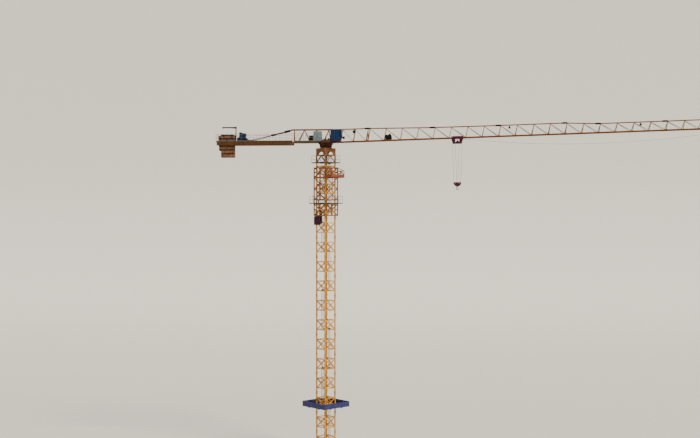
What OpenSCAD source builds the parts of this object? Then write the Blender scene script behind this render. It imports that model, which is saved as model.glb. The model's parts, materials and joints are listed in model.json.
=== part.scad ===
// Flat-top tower crane, drawn at one tenth of its real size, in millimetres.
// +X runs along the jib, +Z is up, and the origin is under the middle of the mast's base frame.

/* [Mast] */
// Distance between the centres of two mast legs
mast_w = 200; // [170:1:260]
// Side of a square mast leg
leg_w = 16; // [12:0.5:20]
// Height of one mast section
section_h = 300; // [260:1:340]
// Number of full mast sections
section_count = 14; // [13:1:15]
// Height of the short section under the slewing base
top_section_h = 250; // [220:1:300]
// Length of the sleeve that joins two legs
sleeve_l = 36; // [24:1:50]
// How far a sleeve stands proud of its leg
sleeve_t = 2.5; // [1.5:0.1:4]
// Side of the horizontal and diagonal mast bars
brace_w = 11; // [6:0.5:13]
// Height of the crossed panel of a section
panel_h = 158; // [130:1:180]
// Angle of the mast's faces to the jib, in degrees
mast_turn = 46; // [0:1:90]

/* [Base frame] */
// Height of the base frame's beams
base_h = 30; // [24:1:40]
// Width of the base frame's beams
base_beam_w = 24; // [18:1:30]
// Side of a square foot plate
foot_w = 72; // [66:1:90]
// Thickness of a foot plate
foot_t = 8; // [5:0.5:12]
// Radius of an anchor bolt hole
anchor_r = 2.6; // [2:0.1:4]
// Distance of an anchor bolt hole from its leg's centre
anchor_off = 26; // [22:0.5:32]

/* [Ladder and landings] */
// Width of the ladder over its rails
ladder_w = 42; // [34:1:50]
// Thickness of the ladder's rails and rungs
ladder_t = 3.5; // [2.5:0.5:5]
// Distance between two rungs
rung_gap = 30; // [25:1:35]
// Thickness of a landing plate
landing_t = 3; // [2:0.5:5]
// Depth of a landing plate
landing_d = 80; // [70:1:95]
// Length of the hatch in a landing
landing_hole = 56; // [50:1:64]

/* [Guard platform] */
// Height of the guard platform's floor
guard_z = 725; // [680:5:880]
// Outer side of the guard platform
guard_w = 510; // [440:5:600]
// Width of the guard platform's floor ring
guard_floor_w = 60; // [40:1:90]
// Height of the boards round the guard platform
board_h = 80; // [60:1:110]
// Thickness of a board
board_t = 3; // [2:0.5:5]

/* [Climbing frame] */
// Outer side of the climbing frame
cage_w = 270; // [262:1:300]
// Side of a climbing frame post
cage_post = 13; // [10:0.5:16]
// Height of the climbing frame's bottom above the base
cage_z = 3660; // [3500:10:3700]
// Height of the climbing frame
cage_h = 750; // [730:5:780]
// Height of its ring beams
cage_ring_h = 14; // [10:0.5:18]
// Height of the opening that takes a new section
intake_h = 330; // [310:1:345]
// Outer side of the frame's working platform
cage_deck_w = 370; // [345:1:420]
// Length of the intake platform
intake_l = 150; // [110:1:180]
// Width of the intake platform
intake_w = 260; // [220:1:268]
// Height of one crossed panel in the frame's sides
cage_row = 150; // [100:5:200]
// Radius of a guide roller
roller_r = 7; // [5:0.5:8]
// Radius of the climbing ram's barrel
ram_r = 9; // [7:0.5:12]

/* [Handrails] */
// Height of a handrail
rail_h = 110; // [90:1:120]
// Thickness of a handrail bar
rail_t = 3; // [2.5:0.5:4]
// Height of the toe board at the foot of a handrail
toe_h = 10; // [6:1:15]
// Thickness of a platform's floor
deck_t = 4; // [3:0.5:6]

/* [Slewing base and ring] */
// Height of the slewing base
slew_base_h = 225; // [200:1:250]
// Height of its top girder
girder_h = 45; // [35:1:55]
// Height of the round-topped opening under the girder
arch_h = 53; // [45:1:60]
// Width of that opening
arch_w = 118; // [100:1:130]
// Outer side of the platform round the slewing base
top_deck_w = 320; // [300:1:380]
// Radius of the slewing ring
ring_r = 90; // [80:1:100]
// Height of each half of the slewing ring
ring_h = 9; // [7:0.5:12]
// Radius of the round access hole through the ring
hatch_r = 42; // [35:1:50]
// Running gap between the two halves of the ring
slew_gap = 0.5; // [0.3:0.1:1]
// Height of the slewing table's cone
cone_h = 44; // [40:1:65]
// Height of the slewing table's top plate
table_t = 20; // [15:1:25]

/* [Tower head] */
// Distance between the centres of the bottom chords
jib_w = 130; // [118:1:142]
// Side of a chord
chord_w = 16; // [12:0.5:18]
// Height of the head truss between chord centres
head_depth = 196; // [180:1:215]
// Reach of the head's top chord behind the mast
head_back = 543; // [530:1:560]
// Reach of the head's bottom chords behind the mast, where the counter-jib is pinned
head_rear_x = 500; // [495:1:510]
// Where the jib's foot pins are, ahead of the mast
jib_foot_x = 118; // [115:1:125]
// Side of the head's strong bars
head_bar = 12; // [8:0.5:13]
// Thickness of the plates beside the head's middle
head_plate_t = 3; // [2:0.5:4]
// Height of those plates above the chord's centre
head_plate_h = 45; // [30:1:60]
// Radius of the jib's foot pins
foot_pin_r = 4; // [3:0.5:5]
// Width of the walkway beside the head
side_walk = 68; // [60:1:75]

/* [Jib] */
// Upward slope of the jib, in degrees
jib_rise = 1.77; // [0:0.01:3]
// Length of the root section
root_l = 532; // [525:1:545]
// Length of a bay in the root section
root_bay = 197; // [180:1:200]
// Length of a long jib section
long_l = 1000; // [900:10:1050]
// Length of the short, tapered section
short_l = 500; // [450:5:550]
// Length of the tip
tip_l = 130; // [110:1:160]
// Length of a bay past the root section
bay_l = 250; // [230:5:260]
// Truss height at the first section joint
depth_1 = 195; // [185:1:200]
// Truss height at the second section joint
depth_2 = 172; // [160:1:185]
// Truss height of the middle sections
depth_mid = 166; // [150:1:175]
// Truss height of the outer sections
depth_out = 138; // [120:1:150]
// Lean of a side post, from its foot to its head
post_lean = 40; // [20:1:60]
// Side of a jib side bar
jib_bar = 7; // [5:0.5:8]
// Width of the ledge that the trolley wheels run on
ledge_w = 9; // [8:0.5:10]
// Thickness of that ledge
ledge_t = 3; // [2.5:0.5:4]
// Gap left for the weld between a bar and a chord
weld_gap = 0.1; // [0.05:0.05:0.3]

/* [Counter-jib] */
// Reach of the counter-jib behind the mast
counter_l = 1695; // [1660:1:1730]
// Height of its main beams
beam_h = 56; // [45:1:65]
// Width of its main beams
beam_w = 14; // [10:0.5:18]
// Distance between the centres of its main beams
beam_gap = 150; // [146:1:170]
// Outer width over the walkways
walk_w = 280; // [260:1:320]
// Distance from the hoist winch to the tie bars' anchors
tie_off = 135; // [125:1:160]
// Depth of a tie bar
tie_w = 9; // [7:0.5:11]

/* [Counterweights] */
// Number of large slabs
slab_count = 3; // [2:1:3]
// Thickness of a large slab
slab_t = 66; // [55:1:68]
// Thickness of the small slab at the end
small_slab_t = 30; // [22:1:34]
// Height of a large slab
slab_h = 350; // [300:1:380]
// Height of the small slab
small_slab_h = 225; // [200:1:260]
// Width of a slab's shoulders, that rest on the beams
shoulder_w = 210; // [180:1:215]
// Height of a slab above the beams
shoulder_h = 108; // [90:1:120]
// Gap between two slabs
slab_gap = 2; // [1:0.5:4]
// Distance from the end of the counter-jib to the first slab's front
slab_end = 270; // [262:1:290]
// Depth of the grooves across a slab
groove_d = 8; // [3:0.5:9]
// Height of those grooves
groove_h = 12; // [6:1:16]

/* [Davit] */
// Distance from the first slab to the davit
davit_off = 21; // [18:1:30]
// Height of the davit's post above the deck
davit_h = 215; // [190:1:240]
// Reach of the davit's arm
davit_l = 215; // [180:1:240]
// Radius of the davit's post
davit_r = 5; // [4:0.5:7]

/* [Winches] */
// Distance from the first slab to the hoist drum's axis
winch_off = 125; // [118:1:135]
// Radius of the winch's round side plates
winch_plate_r = 52; // [48:1:54]
// Radius of the hoist drum's flanges
flange_r = 45; // [38:1:48]
// Height of the hoist drum's axis above the deck
drum_z = 58; // [54:1:60]
// Radius of the hoist drum
drum_r = 30; // [22:1:34]
// Length of the hoist drum
drum_l = 90; // [75:1:100]
// Where the trolley winch is along the jib
trolley_winch_x = 955; // [945:1:965]

/* [Cab and cabinets] */
// Width of the cab
cab_w = 130; // [110:1:140]
// Length of the cab
cab_l = 182; // [165:1:190]
// Height of the cab
cab_h = 176; // [165:1:185]
// Thickness of the cab's walls
cab_wall = 4; // [3:0.5:6]
// Gap between the cab and the bottom chord
cab_off = 20; // [16:1:30]
// Thickness of the cab's glass
glass_t = 1.6; // [1:0.1:2]

/* [Trolley and hook] */
// Where the trolley rests along the jib
trolley_s = 2022; // [1900:1:2150]
// Length of the trolley
trolley_l = 173; // [165:1:185]
// Radius of a trolley wheel
wheel_r = 8; // [6:0.5:9]
// Radius of a trolley sheave
sheave_r = 21.5; // [18:0.5:23]
// Distance of a trolley sheave from the trolley's middle
sheave_x = 54.5; // [50:0.5:58]
// Width of a rope sheave
sheave_w = 8; // [6:0.5:10]
// Drop from the trolley to the hook block
hook_drop = 663; // [500:1:800]
// Distance between the hook block's sheaves
block_gap = 58; // [54:1:66]
// Radius of a hook block's sheave
block_r = 20; // [16:0.5:22]
// Radius of the hoist rope
rope_r = 1.4; // [1:0.1:2]
// Sag of the rope between the trolley and the tip
rope_sag = 150; // [100:5:200]
// Inner radius of the hook
hook_r = 13; // [10:0.5:16]

/* [Hidden] */

fit_gap = 0.3;
pin_gap = 0.15;
round_fn = 48;

// Distances behind the mast, from the counter-jib's end inwards
slab_x = counter_l - slab_end;
davit_x = slab_x - davit_off;
winch_x = slab_x - winch_off;
tie_x = winch_x - tie_off;

// Heights up the tower
mast_top = base_h + section_count * section_h + top_section_h;
slew_z = mast_top + slew_base_h;
upper_z = slew_z + ring_h + slew_gap;
table_z = upper_z + ring_h + cone_h;
foot_chord_z = table_z + table_t + chord_w / 2;
head_top_z = foot_chord_z + head_depth;
deck_z = foot_chord_z + beam_h / 2 - 12;
cage_top = cage_z + cage_h;
intake_top = cage_top - 165;
cage_deck_z = intake_top - intake_h - 62;

yellow = "#d99a24";
dark_yellow = "#a8741c";
rail_grey = "#8d8f86";

// A square bar between two points, its side flat to the given normal.
module bar(a, b, w, h) {
    d = b - a;
    l = norm(d);
    yaw = atan2(d[1], d[0]);
    pitch = acos(d[2] / l);
    translate(a) rotate([0, pitch, yaw])
        translate([-h / 2, -w / 2, 0]) cube([h, w, l]);
}

// A round bar between two points.
module rod(a, b, r) {
    d = b - a;
    l = norm(d);
    translate(a) rotate([0, acos(d[2] / l), atan2(d[1], d[0])])
        cylinder(r = r, h = l, $fn = 24);
}

// A bar drawn flat, in the plane of a lattice side.
module flat_bar(a, b, w) {
    d = b - a;
    translate(a) rotate(atan2(d[1], d[0])) translate([0, -w / 2]) square([norm(d), w]);
}

module centred_box(x, y, z0, z1) {
    translate([-x / 2, -y / 2, z0]) cube([x, y, z1 - z0]);
}

module on_mast() { rotate([0, 0, mast_turn]) children(); }

// Puts what is drawn for the face towards +X on face k of the mast.
module on_face(k) { on_mast() rotate([0, 0, 90 * k]) children(); }

// Puts a plane drawing, width across and height up, on the plane x = off.
module upright(off, t) {
    translate([off - t / 2, 0, 0]) rotate([90, 0, 90]) linear_extrude(t) children();
}

// A handrail panel along X: posts, top rail, middle rail and toe board.
module rail_panel(l, posts) {
    rotate([90, 0, 0]) translate([0, 0, -rail_t / 2]) linear_extrude(rail_t) {
        for (i = [0 : posts - 1])
            translate([i * (l - rail_t) / (posts - 1), 0]) square([rail_t, rail_h]);
        translate([0, rail_h - rail_t]) square([l, rail_t]);
        translate([0, rail_h / 2]) square([l, rail_t]);
        square([l, toe_h]);
    }
}

// Four panels round a square platform of side w, with the corners left clear.
module rail_ring(w, z, posts) {
    l = w - 2 * rail_t - 2 * fit_gap;
    for (k = [0 : 3]) rotate([0, 0, 90 * k])
        translate([-l / 2, w / 2 - rail_t / 2, z]) rail_panel(l, posts);
}

/* Base and mast */

module base_frame() {
    reach = mast_w / sqrt(2);
    color(dark_yellow) on_mast() difference() {
        union() {
            for (k = [0 : 3]) rotate([0, 0, 90 * k]) {
                translate([mast_w / 2 - foot_w / 2, mast_w / 2 - foot_w / 2, 0])
                    cube([foot_w, foot_w, foot_t]);
                translate([mast_w / 2 - base_beam_w / 2, -mast_w / 2, 0])
                    cube([base_beam_w, mast_w, base_h]);
                translate([mast_w / 2 - base_beam_w / 2, mast_w / 2 - base_beam_w / 2, 0])
                    cube([base_beam_w, base_beam_w, base_h]);
            }
            for (a = [45, 135]) rotate([0, 0, a])
                centred_box(2 * reach, base_beam_w - 4, 0, base_h - 6);
        }
        for (k = [0 : 3]) rotate([0, 0, 90 * k]) translate([mast_w / 2, mast_w / 2, 0])
            for (a = [45 : 90 : 315]) rotate([0, 0, a]) translate([anchor_off, 0, 0]) {
                translate([0, 0, -1]) cylinder(r = anchor_r, h = foot_t + 2, $fn = 32);
                translate([0, 0, foot_t]) cylinder(r = anchor_r + 3, h = base_h, $fn = 32);
            }
    }
}

module mast_legs() {
    color(yellow) on_mast() for (k = [0 : 3]) rotate([0, 0, 90 * k])
        translate([mast_w / 2, mast_w / 2, 0]) {
            centred_box(leg_w, leg_w, base_h, mast_top);
            for (i = [1 : section_count])
                translate([0, 0, base_h + i * section_h - sleeve_l / 2])
                    centred_box(leg_w + 2 * sleeve_t, leg_w + 2 * sleeve_t, 0, sleeve_l);
            centred_box(leg_w + 2 * sleeve_t, leg_w + 2 * sleeve_t, base_h, base_h + sleeve_l / 2);
        }
}

// One crossed panel between two legs, from height 0 to h.
module crossed_panel(h) {
    inner = (mast_w - leg_w) / 2 - weld_gap;
    low = [-inner, brace_w];
    high = [inner, h - brace_w];
    upright(mast_w / 2, brace_w) {
        for (z = [0, h - brace_w]) translate([-inner, z]) square([2 * inner, brace_w]);
        intersection() {
            union() {
                flat_bar(low, high, brace_w * 0.9);
                flat_bar([low[0], high[1]], [high[0], low[1]], brace_w * 0.9);
            }
            translate([-inner, 0]) square([2 * inner, h]);
        }
    }
}

module mast_bracing(k) {
    color(yellow) on_face(k) {
        for (i = [0 : section_count - 1])
            translate([0, 0, base_h + i * section_h + (section_h - panel_h) / 2])
                crossed_panel(panel_h);
        translate([0, 0, mast_top - top_section_h + (section_h - panel_h) / 2])
            crossed_panel(panel_h - (section_h - top_section_h) / 2);
    }
}

// Height of the landing at the top of ladder run i, on the lower bar of a section.
function landing_z(i) = base_h + 2 * i * section_h + (section_h - panel_h) / 2;
run_count = floor(section_count / 2);
ladder_x = mast_w / 2 - leg_w - 14;

module mast_ladders() {
    color(rail_grey) on_mast() for (i = [0 : run_count - 1]) {
        side = i % 2 == 0 ? 1 : -1;
        z0 = i == 0 ? base_h + fit_gap : landing_z(i) + landing_t + fit_gap;
        z1 = i == run_count - 1 ? mast_top - 2 * deck_t : landing_z(i + 1) + rung_gap;
        l = z1 - z0;
        rungs = floor(l / rung_gap);
        translate([side * ladder_x, 0, z0])
            upright(0, ladder_t) difference() {
                translate([-ladder_w / 2, 0]) square([ladder_w, l]);
                for (r = [0 : rungs - 1])
                    translate([-ladder_w / 2 + ladder_t, r * rung_gap + (r == 0 ? -1 : ladder_t)])
                        square([ladder_w - 2 * ladder_t, rung_gap - ladder_t + (r == 0 ? ladder_t + 1 : 0)]);
            }
    }
}

module mast_landings() {
    span = mast_w - brace_w - 2 * weld_gap;
    color(rail_grey) on_mast() for (i = [1 : run_count - 1]) {
        side = i % 2 == 0 ? -1 : 1;
        translate([0, 0, landing_z(i)]) difference() {
            centred_box(span, landing_d, 0, landing_t);
            translate([side * (ladder_x + ladder_t / 2 + fit_gap - landing_hole / 2), 0, 0])
                centred_box(landing_hole, ladder_w + 12, -1, landing_t + 1);
        }
    }
}

/* Guard platform */

module guard_platform() {
    hole = guard_w - 2 * guard_floor_w;
    beam = 10;
    at = mast_w / 2 + leg_w / 2 + weld_gap + beam / 2;
    color(dark_yellow) on_mast() {
        difference() {
            centred_box(guard_w, guard_w, guard_z - deck_t, guard_z);
            centred_box(hole, hole, guard_z - deck_t - 1, guard_z + 1);
        }
        for (k = [0 : 3]) rotate([0, 0, 90 * k])
            translate([at, 0, 0]) centred_box(beam, guard_w, guard_z - deck_t - 12, guard_z - deck_t);
    }
}

module guard_boards() {
    color("#23277a") on_mast() for (k = [0 : 3]) rotate([0, 0, 90 * k])
        translate([guard_w / 2 + fit_gap, -guard_w / 2, guard_z - deck_t])
            cube([board_t, guard_w, board_h]);
}

/* Climbing frame */

cage_c = cage_w / 2 - cage_post / 2;
cage_inner = cage_w / 2 - cage_post - weld_gap;
cage_rings = [0, cage_deck_z - cage_z - 14, intake_top - intake_h - cage_z - cage_ring_h,
              intake_top - cage_z, cage_h - cage_ring_h];

module cage_posts() {
    leg_out = mast_w / 2 + leg_w / 2 + weld_gap;
    lug = cage_c - (cage_post - 3) / 2 - 2 * weld_gap - leg_out;
    color(yellow) on_mast() for (k = [0 : 3]) rotate([0, 0, 90 * k]) {
        translate([cage_c, cage_c, 0]) centred_box(cage_post, cage_post, cage_z, cage_top);
        translate([leg_out, leg_out, cage_top - 24]) cube([lug, lug, 20]);
    }
}

// One side of the frame: ring beams, and crossed bars with a middle post in each field.
module cage_side(k, fields) {
    w = 8;
    color(yellow) on_face(k) upright(cage_c, cage_post - 3) {
        for (z = cage_rings)
            translate([-cage_inner, cage_z + z]) square([2 * cage_inner, cage_ring_h]);
        for (f = fields) {
            z0 = cage_z + cage_rings[f] + cage_ring_h;
            z1 = cage_z + cage_rings[f + 1];
            rows = max(1, round((z1 - z0) / cage_row));
            step = (z1 - z0) / rows;
            translate([-w / 2, z0 - 1]) square([w, z1 - z0 + 2]);
            for (i = [0 : rows - 1]) translate([0, z0 + i * step]) {
                intersection() {
                    union() {
                        flat_bar([-cage_inner, 0], [cage_inner, step], w);
                        flat_bar([cage_inner, 0], [-cage_inner, step], w);
                    }
                    translate([-cage_inner, -1]) square([2 * cage_inner, step + 2]);
                }
                translate([-cage_inner, -w / 2]) square([2 * cage_inner, w]);
            }
        }
    }
}

// One guide roller on its axle and plate, running on the outer face of a leg.
module guide_roller() {
    at = mast_w / 2 + leg_w / 2 + fit_gap + roller_r;
    plate_y = cage_w / 2 - cage_post - weld_gap - 6;
    translate([at, mast_w / 2, 0]) rotate([90, 0, 0])
        cylinder(r = roller_r, h = leg_w - 4, center = true, $fn = 32);
    translate([at, mast_w / 2, 0]) rotate([-90, 0, 0])
        cylinder(r = roller_r * 0.4, h = plate_y - mast_w / 2 + 1, $fn = 24);
    translate([at - 4, plate_y, -9]) cube([cage_w / 2 - 1 - at + 4, 6, 18]);
}

module cage_rollers() {
    color("#3a3a3c") on_mast() for (k = [0 : 3], z = [cage_z + 96, cage_top - 76])
        rotate([0, 0, 90 * k]) translate([0, 0, z]) {
            guide_roller();
            mirror([1, -1, 0]) guide_roller();
        }
}

module ring_deck(w, hole, z) {
    difference() {
        centred_box(w, w, z - deck_t, z);
        centred_box(hole, hole, z - deck_t - 1, z + 1);
    }
}

module cage_platform() {
    face = cage_c + (cage_post - 3) / 2 + weld_gap;
    ram_hole = 2 * ram_r + 6;
    color(dark_yellow) difference() {
        on_mast() {
            ring_deck(cage_deck_w, cage_w + 2 * weld_gap, cage_deck_z);
            for (k = [0 : 3], y = [-80, 80]) rotate([0, 0, 90 * k])
                translate([face, y - 3, cage_deck_z - deck_t - 10])
                    cube([cage_deck_w / 2 - face - 4, 6, 11]);
        }
        on_face(1) translate([ram_x, 0, 0])
            centred_box(ram_hole, ram_hole, cage_deck_z - 30, cage_deck_z + 1);
    }
}

module cage_handrails() {
    color(rail_grey) on_mast() rail_ring(cage_deck_w - 2, cage_deck_z + fit_gap, 5);
}

// Platform on the open side, where a new mast section is taken in.
module intake_platform() {
    x0 = cage_w / 2 + weld_gap;
    x1 = cage_w / 2 + intake_l;
    z0 = intake_top + cage_ring_h;
    side_h = 92;
    post = 8;
    middle = (x0 + x1) / 2;
    color("#a04a1c") on_face(3) {
        translate([x0, -intake_w / 2, z0 - deck_t]) cube([34, intake_w, deck_t]);
        translate([x1 - 40, -intake_w / 2, z0 - deck_t]) cube([40, intake_w, deck_t]);
        for (y = [-intake_w / 2 + post, intake_w / 2])
            translate([0, y, 0]) rotate([90, 0, 0]) linear_extrude(post) {
                translate([x0, z0 - cage_ring_h]) square([x1 - x0, cage_ring_h]);
                translate([x0, z0 - 1]) square([x1 - x0, 24]);
                translate([x0, z0 + 50]) square([x1 - x0, 5]);
                translate([x0, z0 + side_h - post]) square([x1 - x0, post]);
                translate([x0, z0 - 1]) square([post, cage_top - z0 - 3]);
                for (x = [middle - post / 2, x1 - post])
                    translate([x, z0 - 1]) square([post, side_h]);
                flat_bar([x0 + post / 2, z0 + 22], [middle, z0 + side_h - 4], 6);
                flat_bar([middle, z0 + side_h - 4], [x1 - post / 2, z0 + 22], 6);
                flat_bar([x0 + 4, cage_top - 8], [x1 - 4, z0 + side_h - 3], 7);
            }
        translate([x1 - post, -intake_w / 2, z0 + side_h - post]) cube([post, intake_w, post]);
        translate([x1 - 6, -intake_w / 2, z0 + 50]) cube([4, intake_w, 5]);
        translate([x1 - 6, -intake_w / 2, z0 - 1]) cube([4, intake_w, 36]);
    }
}

ram_x = cage_deck_w / 2 - 16;
yoke_bar_z = base_h + (section_count - 3) * section_h + (section_h + panel_h) / 2 + fit_gap;
yoke_z = yoke_bar_z - 24;
yoke_h = 215;
ram_top = cage_z + cage_rings[2] + cage_ring_h;

module climbing_ram() {
    face = cage_c + (cage_post - 3) / 2 + weld_gap;
    color("#6d6f72") on_face(1) {
        translate([ram_x, 0, yoke_z + yoke_h + fit_gap])
            cylinder(r = ram_r * 0.6, h = ram_top - 150 - yoke_z - yoke_h, $fn = round_fn);
        translate([ram_x, 0, ram_top - 152]) cylinder(r = ram_r, h = 150, $fn = round_fn);
        translate([face, -22, ram_top - cage_ring_h]) cube([ram_x + ram_r + 1 - face, 44, cage_ring_h]);
    }
}

// Guard box and cross beam at the foot of the ram, hooked over a bar of the mast.
module climbing_yoke() {
    w = 112;
    d = 34;
    t = 3;
    hook_x = mast_w / 2 - brace_w / 2;
    color("#6e1f2a") on_face(1) {
        translate([ram_x, 0, yoke_z]) difference() {
            centred_box(d, w, 0, yoke_h);
            centred_box(d - 2 * t, w - 2 * t, t, yoke_h - 12);
            centred_box(d + 1, w - 40, yoke_h - 74, yoke_h - 24);
        }
        translate([hook_x, -36, yoke_bar_z]) cube([ram_x - d / 2 + 1 - hook_x, 72, 12]);
    }
}

/* Slewing base */

module slewing_base() {
    outer = mast_w + leg_w;
    inner = (mast_w - leg_w) / 2;
    sill = 14;
    arch_z = slew_z - girder_h - arch_h - 4;
    arch_r = (arch_w * arch_w / 4 + arch_h * arch_h) / (2 * arch_h);
    foot_z = mast_top + 3;
    color(yellow) difference() {
        union() {
            on_mast() {
                for (k = [0 : 3]) rotate([0, 0, 90 * k]) {
                    translate([mast_w / 2, mast_w / 2, 0])
                        centred_box(leg_w, leg_w, mast_top + weld_gap, slew_z - 1);
                    upright(mast_w / 2, 8) {
                        difference() {
                            translate([-inner - 1, arch_z - sill])
                                square([2 * inner + 2, slew_z - girder_h + 1 - arch_z + sill]);
                            intersection() {
                                translate([0, arch_z + arch_h - arch_r]) circle(r = arch_r, $fn = round_fn);
                                translate([-arch_w, arch_z]) square([2 * arch_w, arch_h + 1]);
                            }
                        }
                        translate([-inner - 1, foot_z]) square([2 * inner + 2, 10]);
                        intersection() {
                            union() {
                                flat_bar([-inner, foot_z + 5], [0, arch_z - sill / 2], 10);
                                flat_bar([inner, foot_z + 5], [0, arch_z - sill / 2], 10);
                            }
                            translate([-inner - 1, foot_z]) square([2 * inner + 2, arch_z - foot_z]);
                        }
                    }
                }
                centred_box(outer, outer, slew_z - girder_h, slew_z);
            }
            translate([0, 0, slew_z - 1]) cylinder(r = ring_r, h = ring_h + 1, $fn = round_fn);
        }
        translate([0, 0, slew_z - girder_h - 1])
            cylinder(r = hatch_r, h = girder_h + ring_h + 2, $fn = round_fn);
    }
}

module top_platform() {
    color(dark_yellow) on_mast()
        ring_deck(top_deck_w, mast_w + leg_w + 2 * weld_gap, mast_top);
}

module top_handrails() {
    color(rail_grey) on_mast() rail_ring(top_deck_w - 2, mast_top + fit_gap, 4);
}

/* Slewing table and tower head */

module slewing_table() {
    side = 2 * ring_r + 30;
    color("#5a2a1a") difference() {
        union() {
            translate([0, 0, upper_z]) cylinder(r = ring_r - 4, h = ring_h, $fn = round_fn);
            translate([0, 0, upper_z + ring_h - 0.01])
                cylinder(r1 = ring_r - 6, r2 = ring_r + 14, h = cone_h + 0.01, $fn = round_fn);
            translate([0, 0, table_z - 0.01]) centred_box(side, jib_w + 50, 0, table_t);
            for (a = [0 : 60 : 300]) rotate([0, 0, a + 30]) translate([ring_r - 20, -3, upper_z + ring_h])
                cube([34, 6, cone_h]);
        }
        translate([0, 0, upper_z - 1])
            cylinder(r = hatch_r, h = ring_h + cone_h + table_t + 2, $fn = round_fn);
    }
}

module slewing_motors() {
    color("#2c3442") for (y = [-41, 41]) translate([44, y, table_z + table_t + fit_gap]) {
        cylinder(r = 15, h = 24, $fn = round_fn);
        translate([0, 0, 24]) cylinder(r = 12, h = 42, $fn = round_fn);
        translate([0, 0, 66]) cylinder(r = 8, h = 8, $fn = round_fn);
    }
}

// Feet and heads of the bars in a side of the tower head, along the jib.
head_bars = [[-488, -488], [-430, -335], [-240, -327], [-240, -140], [-37, -140], [-37, 48], [79, 48]];

// A tube of a truss side, from its foot on the bottom chord to the underside of the top chord.
module side_bar(xb, xt, top, side, w) {
    a = [xb, side * jib_w / 2, 0];
    b = [xt, side * (w / 2 + 1), top - chord_w / 2];
    d = b - a;
    difference() {
        translate(a) rotate([0, acos(d[2] / norm(d)), atan2(d[1], d[0])])
            cylinder(d = w, h = norm(d) + w, $fn = 8);
        translate([xt - 40, -jib_w / 2, top - chord_w / 2 - weld_gap]) cube([80, jib_w, 30]);
    }
}

lug_t = 4;

// The head's bottom frame: two chords joined by cross beams, side plates at the slewing table,
// and at the front a fork with a pin for each foot of the jib.
module head_frame() {
    x1 = jib_foot_x - 12;
    out = jib_w / 2 + chord_w / 2;
    color(yellow) translate([0, 0, foot_chord_z]) {
        for (y = [-jib_w / 2, jib_w / 2]) {
            translate([-head_rear_x, y - chord_w / 2, -chord_w / 2])
                cube([head_rear_x + x1, chord_w, chord_w]);
            translate([x1 - 5, y - chord_w / 2 - lug_t, -chord_w / 2])
                cube([5, chord_w + 2 * lug_t, chord_w]);
            for (dy = [-chord_w / 2 - lug_t, chord_w / 2 + weld_gap])
                translate([x1 - 5, y + dy, -chord_w / 2])
                    cube([jib_foot_x + 10 - x1 + 5, lug_t - weld_gap, chord_w]);
            translate([jib_foot_x, y, 0]) rotate([90, 0, 0])
                cylinder(r = foot_pin_r, h = chord_w + 2 * lug_t + 4, center = true, $fn = 32);
        }
        for (y = [-out - head_plate_t, out - 1])
            translate([walk_x1 + weld_gap, y, -chord_w / 2])
                cube([x1 - walk_x1 - weld_gap, head_plate_t + 1, chord_w / 2 + head_plate_h]);
        for (x = [-488, -430, -240, -37, 79])
            translate([x - 5, -jib_w / 2, -5]) cube([10, jib_w, 10]);
    }
}

module head_top_chord() {
    color(yellow) translate([-head_back, -chord_w / 2, head_top_z - chord_w / 2])
        cube([head_back + jib_foot_x - head_depth * sin(jib_rise) - 1, chord_w, chord_w]);
}

module head_side(side) {
    foot = chord_w / 2 + weld_gap;
    color(yellow) translate([0, 0, foot_chord_z]) difference() {
        union() {
            for (b = head_bars) side_bar(b[0], b[1], head_depth, side, head_bar);
        }
        translate([-600, -jib_w, -40]) cube([800, 2 * jib_w, 40 + foot]);
    }
}

head_deck_z = foot_chord_z + chord_w / 2 + weld_gap + deck_t;
walk_x0 = -head_rear_x + 22;
walk_x1 = -42;

// Floor on the head's rear part, with a walkway out past each side.
module head_platform() {
    w = jib_w + chord_w;
    color(dark_yellow) translate([0, 0, head_deck_z - deck_t]) difference() {
        translate([walk_x0, -w / 2 - side_walk, 0]) cube([walk_x1 - walk_x0, w + 2 * side_walk, deck_t]);
        translate([-90, -jib_w / 2, -1]) cube([100, jib_w, deck_t + 2]);
        for (b = head_bars, y = [-jib_w / 2, jib_w / 2])
            translate([b[0] - 30, y - chord_w / 2 - 2, -1]) cube([60, chord_w + 4, deck_t + 2]);
    }
}

module head_handrails() {
    y = jib_w / 2 + chord_w / 2 + side_walk - rail_t / 2;
    color(rail_grey) translate([walk_x0, 0, head_deck_z + weld_gap])
        for (s = [-1, 1]) translate([0, s * y, 0]) rail_panel(walk_x1 - walk_x0, 7);
}

/* Cab and cabinets */

cab_x = jib_foot_x - 28;
cab_y = -jib_w / 2 - chord_w / 2 - cab_off - cab_w;
cab_z = foot_chord_z + 9;

// The cab's side outline, seen from the side: upright back, raked front.
module cab_outline(inset) {
    polygon([
        [inset, inset],
        [cab_l - 34 - inset * 0.4, inset],
        [cab_l - inset, 62],
        [cab_l - 16 - inset, cab_h - inset],
        [inset, cab_h - inset]
    ]);
}

module cab_prism(inset, y0, y1) {
    translate([cab_x, y1, cab_z]) rotate([90, 0, 0]) linear_extrude(y1 - y0) cab_outline(inset);
}

module cab_shell() {
    t = cab_wall;
    y0 = cab_y;
    y1 = cab_y + cab_w;
    color("#1c3a66") {
        difference() {
            cab_prism(0, y0, y1);
            cab_prism(t, y0 + t, y1 - t);
            for (y = [y0 - 1, y1 - t - 1])
                translate([cab_x + 62, y, cab_z + 56]) cube([cab_l - 62 - 26, t + 2, cab_h - 56 - 14]);
            translate([cab_x + 14, y0 - 1, cab_z + 84]) cube([40, t + 2, 68]);
            translate([cab_x + cab_l - 40, y0 + 10, cab_z + 66]) cube([60, cab_w - 20, cab_h - 66 - 14]);
            translate([cab_x - 1, y0 + 30, cab_z + 84]) cube([t + 2, cab_w - 60, 60]);
        }
        for (arm = [[cab_x, head_plate_t + weld_gap], [cab_x + 96, weld_gap]])
            translate([arm[0], y0 + 8, foot_chord_z - chord_w / 2 + 2])
                cube([10, cab_w + cab_off - 8 - arm[1], chord_w / 2 - 2 + cab_z - foot_chord_z]);
    }
}

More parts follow.
